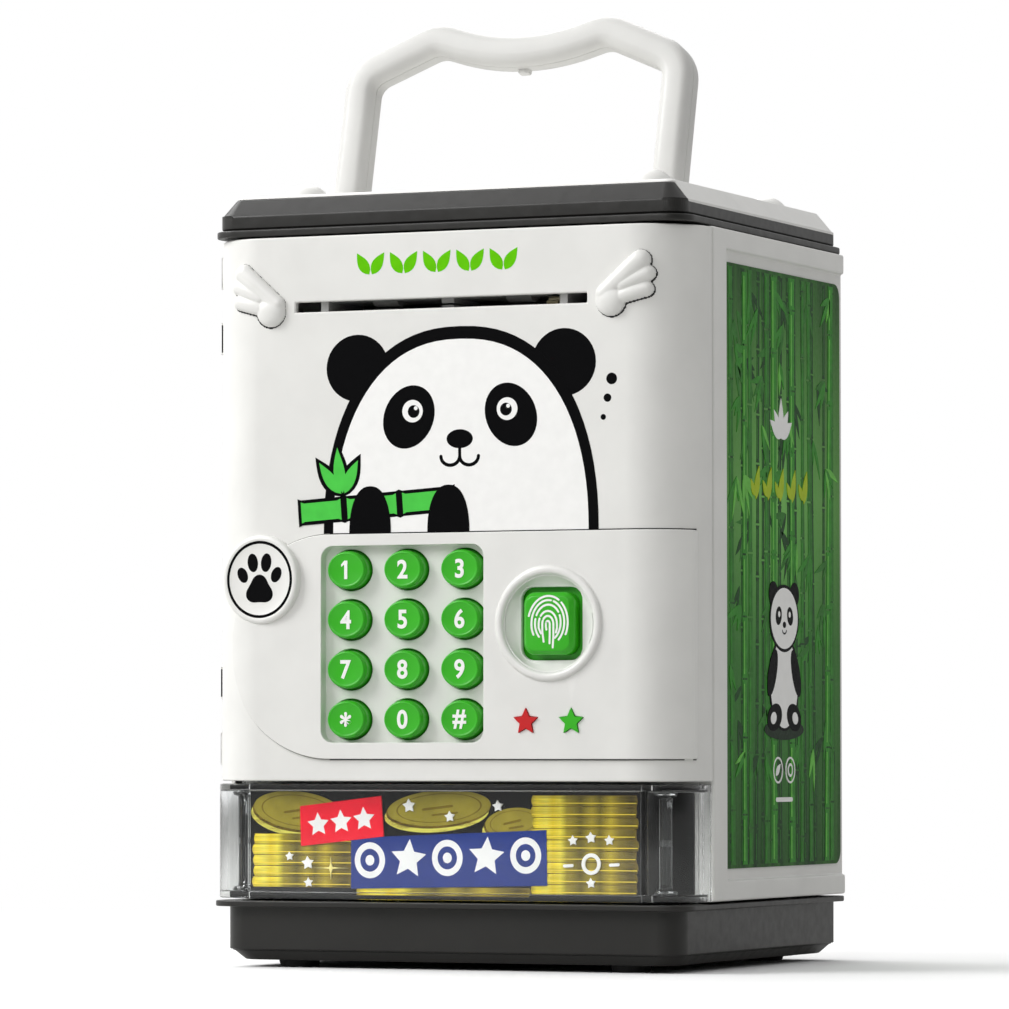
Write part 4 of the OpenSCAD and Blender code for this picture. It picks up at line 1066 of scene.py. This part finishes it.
def draw_small_marks(art, cy):
    """A leaf and a coin in round marks, over a short line."""
    for s in (-1, 1):
        a, b = cy + s * 4.2, 48.5
        art.ring("white", 8, a, b, (3.3, 3.3), (2.8, 2.8), steps=32)
        if s < 0:
            art.shape("white", 8, leaf(a - 1.6, b - 1.4, 4.4, 1.9, 42, 0.06))
        else:
            art.ring("white", 8, a, b, (1.7, 1.7), (1.1, 1.1), steps=24)
    art.shape("white", 8, band([(cy - 5.2, 41.2), (cy + 5.2, 41.2)], 1.1))


def make_side_art(side):
    """Bamboo grove with a sprig, a row of lime leaves where a title would be, and a seated panda."""
    end_name = "right" if side > 0 else "left"
    node = "side_print_" + end_name
    low, high = box_mm(node)
    outer = high.x if side > 0 else low.x
    dress(node, SHEET)

    def place(a, b, lift):
        return Vector((outer + side * lift, a, b))

    art = Print("side_art_" + end_name, "cabinet", "side_print", place, 0.02)
    margin = 0.4
    chance = random.Random(7 if side > 0 else 11)
    y0, y1 = low.y + margin, high.y - margin
    draw_grove(art, chance, y0, y1, low.z + margin, high.z - margin)
    middle = (y0 + y1) / 2 - 0.8
    for k, turn in enumerate((150, 125, 90, 55, 30)):
        reach = 8.5 if k != 2 else 10
        art.shape("white", 8, leaf(middle - side * 0.5, 131, reach, 3.4, turn, 0.0))
    for i in range(5):
        a = middle + (i - 2) * 8.2
        art.shape("lime", 8, leaf(a - 1.2, 115.2, 8.6, 3.2, 75, 0.08))
        art.shape("lime", 8, leaf(a - 1.6, 116.0, 5.2, 2.4, 128, 0.08))
    draw_seated_panda(art, middle + 1.2, 58.0)
    draw_small_marks(art, middle + 1.2)
    art.finish(SIDE_INK)


# ---------------- window card
def gold(name, colour):
    n = Nodes(name)
    scuff = n.noise(1.6, 4, (0.25, 1, 1.6))
    return n.finish(n.drift(scuff, colour, 0.7, 1.2), (scuff, 0.2, 0.4), (n.noise(0.5, 2), 0.01, 0.5),
                    metallic=0.75)


def coin_print(name, x0, x1):
    """Printed pile of coins: the same bright and dark uprights on every coin between x0 and x1."""
    n = Nodes(name)
    bars = n.ramp(n.axis("X", x0, x1), (
        (0.0, (0.45, 0.33, 0.02)), (0.05, (1.0, 0.8, 0.03)), (0.14, (1.0, 0.86, 0.09)),
        (0.2, (0.9, 0.68, 0.012)), (0.27, (1.0, 0.84, 0.06)), (0.33, (0.36, 0.29, 0.015)),
        (0.46, (0.09, 0.07, 0.004)), (0.56, (0.42, 0.33, 0.02)), (0.64, (0.13, 0.1, 0.005)),
        (0.74, (0.55, 0.42, 0.02)), (0.82, (0.2, 0.15, 0.008)), (0.93, (0.05, 0.035, 0.002)),
        (1.0, (0.16, 0.11, 0.005)),
    ))
    streak = n.noise(1.1, 3, (0.12, 1, 2.2))
    streaked = n.blend(n.remap(streak, 0.0, 0.55), bars, (0.2, 0.15, 0.008))
    return n.finish(streaked, (streak, 0.25, 0.4), (n.noise(0.5, 2), 0.008, 0.4), specular=0.2)


CARD_INK = {
    "white": INK["white"], "red": INK["red"], "blue": INK["blue"],
    "bright": gold("card_bright", (0.95, 0.8, 0.14)),
    "shade": gold("card_shade", (0.2, 0.13, 0.01)),
    "glow": ink("card_glow", (1.0, 0.86, 0.3)),
    "left": coin_print("card_coins_left", -53.4, -25.5),
    "middle": coin_print("card_coins_middle", -24.5, 22.0),
    "right": coin_print("card_coins_right", 22.4, 50.6),
    "lip": ink("card_lip", (0.95, 0.72, 0.06)),
    "face": ink("card_coin_face", (0.33, 0.27, 0.03), 0.35, 0.12),
    "line": ink("card_coin_line", (0.19, 0.13, 0.008), 0.4, 0.12),
}


def coin_stack(art, ink_name, x0, x1, z0, z1, count, level):
    """Side view of a pile of coins: strips that bulge, each with a bright lower lip and a dark gap."""
    pitch = (z1 - z0) / count
    art.shape("shade", level - 1, [(x0 + 0.3, z0), (x1 - 0.3, z0), (x1 - 0.3, z1), (x0 + 0.3, z1)])
    for i in range(count):
        shift = 0.35 * math.sin(2.7 * i + x0)
        a, b = x0 + shift, x1 + shift
        low, high = z0 + i * pitch + 0.1, z0 + (i + 1) * pitch - 0.1
        rings = []
        for t in (k / 6 for k in range(7)):
            bulge = art.step * level + 0.14 * math.sin(math.pi * t)
            z = low + (high - low) * t
            side = 0.35 * (1 - math.sin(math.pi * t))
            corners = ((a + side, bulge), (b - side, bulge), (b - side, INK_FOOT), (a + side, INK_FOOT))
            rings.append([art.place(x, z, lift) for x, lift in corners])
        ring_loft(art.mesh(ink_name, level), rings)
        lift = art.step * level + 0.12
        z = low + (high - low) * 0.24
        corners = ((a + 0.3, z), (b - 0.3, z), (b - 0.3, z + 0.2), (a + 0.3, z + 0.2))
        lip = [art.place(*p, lift) for p in corners]
        back = [p - (lip[0] - art.place(a + 0.3, z, 0)) for p in lip]
        ring_loft(art.mesh("lip", level + 1), [lip, back])


def lying_coin(art, x, z, rx, rz, turn, level):
    """Coin seen at a slant: bright rim below, olive face, inner ring."""
    drop = 1.5
    art.dot("bright", level, x - 0.7, z - drop, rx, rz, turn)
    art.dot("shade", level + 1, x - 0.25, z - drop * 0.35, rx, rz, turn)
    art.dot("face", level + 2, x, z, rx - 0.15, rz - 0.1, turn)
    art.ring("line", level + 3, x, z, (rx * 0.82, rz * 0.8), (rx * 0.79, rz * 0.76), turn)
    art.shape("line", level + 3, band([(x - rx * 0.3, z - 0.4), (x + rx * 0.25, z + 0.5)], 0.6))
    art.shape("line", level + 3, band([(x - rx * 0.12, z - rz * 0.4), (x + rx * 0.35, z - rz * 0.25)], 0.5))


def clip_window(outline, x0, x1, z0, z1):
    """The part of an outline inside a rectangle."""
    for axis, limit, sign in ((0, x0, 1), (0, x1, -1), (1, z0, 1), (1, z1, -1)):
        kept = []
        for p, q in round_pairs(outline):
            p_in, q_in = (sign * point[axis] >= sign * limit for point in (p, q))
            if p_in:
                kept.append(p)
            if p_in != q_in:
                t = (limit - p[axis]) / (q[axis] - p[axis])
                kept.append((p[0] + (q[0] - p[0]) * t, p[1] + (q[1] - p[1]) * t))
        outline = kept
        if not outline:
            break
    return outline


class CardPrint(Print):
    """Print whose shapes are cut off at the card's edges."""

    def __init__(self, *settings, edge):
        super().__init__(*settings)
        self.edge = edge

    def shape(self, ink_name, level, outline):
        kept = clip_window([tuple(p) for p in outline], *self.edge)
        if len(kept) > 2:
            super().shape(ink_name, level, kept)


def make_card_art():
    low, high = box_mm("window_card")

    def place(a, b, lift):
        return Vector((a, low.y - lift, b))

    edge = (low.x + 0.1, high.x - 0.1, low.z + 0.1, high.z - 0.1)
    art = CardPrint("card_art", "cabinet", "printed_card", place, 0.03, edge=edge)
    lying_coin(art, -40.2, 38.6, 12.4, 4.8, -6, 1)
    lying_coin(art, -2.2, 39.4, 14.0, 4.4, 4, 1)
    lying_coin(art, 17.5, 36.0, 7.5, 3.6, 6, 1)
    coin_stack(art, "left", -52.6, -25.5, 19.8, 33.0, 5, 4)
    coin_stack(art, "middle", -24.5, 22.0, 18.0, 20.2, 1, 4)
    coin_stack(art, "right", 22.4, 50.2, 18.4, 42.6, 9, 4)
    art.shape("blue", 13, [(-25.7, 19.6), (26.6, 20.8), (26.4, 34.2), (-25.7, 32.0)])
    art.shape("red", 15, [(-39.3, 29.9), (-16.9, 32.4), (-17.6, 42.3), (-39.6, 39.7)])
    # Plain marks on the labels: coins and stars
    tilt = math.tan(math.radians(2))
    for i in range(5):
        x = -20.6 + i * 10.4
        z = 26.6 + (x + 20) * tilt
        if i % 2 == 0:
            art.ring("white", 14, x, z, (4.1, 4.4), (2.6, 2.8), steps=32)
            art.dot("white", 14, x, z, 1.2, 1.3, steps=20)
        else:
            art.shape("white", 14, star_shape(x, z, 4.9, -4, 0.48))
    for i in range(3):
        x = -34.6 + i * 6.2
        art.shape("white", 16, star_shape(x, 35.2 + (x + 34.6) * 0.115, 3.0, 4, 0.5))
    for x, z, r in ((-10.1, 39.9, 1.75), (0.8, 37.3, 1.4), (-42.5, 27.4, 1.15), (-37.5, 25.8, 1.7),
                    (-37.3, 21.0, 1.25), (13.6, 39.9, 1.45), (33.4, 31.7, 1.3), (38.1, 32.4, 1.45),
                    (42.9, 31.8, 1.3), (38.1, 21.5, 1.3)):
        art.shape("white", 17, star_shape(x, z, r, 5, 0.55))
    art.shape("white", 17, band([(31.2, 25.6), (33.2, 25.7)], 0.75))
    art.shape("white", 17, band([(43.2, 25.9), (45.2, 26.0)], 0.75))
    art.ring("white", 17, 38.2, 26.1, (2.5, 2.6), (1.6, 1.7), steps=28)
    # Two crossed glints on the left pile
    for reach in ((5.0, 0.24), (2.6, 0.6)):
        art.shape("glow", 17, [(-31.2 + reach[i % 2] * math.cos(math.pi * i / 4),
                                24.6 + reach[i % 2] * 0.55 * math.sin(math.pi * i / 4)) for i in range(8)])
    art.finish(CARD_INK)


# ---------------- stage
LAMPS = [
    # name, place, aim, width and height, all in metres, and power in watts
    ("key", (-1.25, -0.95, 1.2), (0, -0.02, 0.1), (0.9, 0.9), 24),
    ("fill", (0.1, -1.6, 1.0), (0, 0, 0.12), (0.9, 0.7), 7),
    ("overhead", (-0.55, 0.45, 1.05), (0, -0.05, 0.18), (1.4, 0.6), 8),
]


def area_light(name, place, aim, size, power):
    data = bpy.data.lights.new(name, "AREA")
    data.shape = "RECTANGLE"
    data.size, data.size_y = size
    data.energy = power
    made = add_object(name, data)
    made.location = place
    made.rotation_euler = (Vector(aim) - Vector(place)).to_track_quat("-Z", "Y").to_euler()


def make_world():
    """White studio: brighter behind, above and to the left of the object, plain white to the lens."""
    world = bpy.data.worlds.new("studio")
    bpy.context.scene.world = world
    world.use_nodes = True
    nodes, links = world.node_tree.nodes, world.node_tree.links
    place = nodes.new("ShaderNodeTexCoord")
    split = nodes.new("ShaderNodeSeparateXYZ")
    links.new(place.outputs["Generated"], split.inputs[0])

    def slope(axis, start, end, low, high):
        node = nodes.new("ShaderNodeMapRange")
        node.interpolation_type = "SMOOTHSTEP"
        for key, value in (("From Min", start), ("From Max", end), ("To Min", low), ("To Max", high)):
            node.inputs[key].default_value = value
        links.new(split.outputs[axis], node.inputs["Value"])
        return node.outputs["Result"]

    def total(a, b):
        node = nodes.new("ShaderNodeMath")
        node.operation = "ADD"
        links.new(a, node.inputs[0])
        links.new(b, node.inputs[1])
        return node.outputs[0]

    glow = total(total(slope("Y", -0.7, 0.95, 0.1, 0.62), slope("Z", 0.2, 0.9, 0.0, 0.3)),
                 slope("X", -0.9, 0.1, 0.45, 0.0))
    path = nodes.new("ShaderNodeLightPath")
    seen = nodes.new("ShaderNodeMix")
    links.new(path.outputs["Is Camera Ray"], seen.inputs[0])
    links.new(glow, seen.inputs[2])
    seen.inputs[3].default_value = 1.0
    links.new(seen.outputs[0], nodes["Background"].inputs["Strength"])
    nodes["Background"].inputs["Color"].default_value = (1, 1, 1, 1)


def make_floor():
    """Pale paper that keeps the object's soft shadow and fades into the white behind it."""
    bm = bmesh.new()
    bm.faces.new([bm.verts.new((6 * math.cos(a), 6 * math.sin(a), 0)) for a in angles(96)])
    mesh = bpy.data.meshes.new("floor")
    bm.to_mesh(mesh)
    bm.free()
    n = Nodes("floor_paper")
    path = n.add("ShaderNodeLightPath")
    paper = n.blend(n.remap(n.noise(400, 3), 0, 1), (0.93, 0.93, 0.93), (0.95, 0.95, 0.95))
    tone = n.blend(path.outputs["Is Camera Ray"], (0.5, 0.5, 0.49), paper)
    n.finish(tone, (n.noise(60, 3), 0.8, 0.95), None, specular=0.0)
    reach = n.add("ShaderNodeVectorMath", operation="LENGTH")
    n.join(n.place, reach.inputs[0])
    fade = n.remap(reach.outputs["Value"], 0.0, 1.0, 0.12, 0.5)
    white = n.add("ShaderNodeEmission")
    both = n.add("ShaderNodeMath", operation="MULTIPLY")
    n.join(fade, both.inputs[0])
    n.join(path.outputs["Is Camera Ray"], both.inputs[1])
    n.mix_shaders(both.outputs[0], white.outputs[0])
    mesh.materials.append(n.material)
    floor = add_object("floor", mesh)


def make_camera():
    """Eye near the top of the object's lower quarter, 24 degrees to its right, tilted slightly up."""
    turn, tilt = math.radians(24), math.radians(2.473)
    data = bpy.data.cameras.new("camera")
    data.sensor_width = 36
    data.lens = 202.8
    data.clip_start, data.clip_end = 0.05, 50
    camera = add_object("camera", data)
    camera.location = Vector((575.5, -1307.85, 53.5)) * MM
    camera.rotation_euler = (math.pi / 2 + tilt, 0, turn)
    bpy.context.scene.camera = camera


def make_stage():
    make_camera()
    make_world()
    make_floor()
    for lamp in LAMPS:
        area_light(*lamp)
    bpy.context.scene.view_settings.view_transform = "Standard"


SHEET = sheet_material("side_sheet")
for cad_node in NODES:
    dress(cad_node, MATERIALS[SLOT_OF[cad_node]])
make_shells()
make_handle()
make_keys()
make_fingerprint()
make_print_dish()
make_badge()
make_wings()
make_window_depth()
make_front_art()
for side in (-1, 1):
    make_side_art(side)
make_card_art()
make_stage()
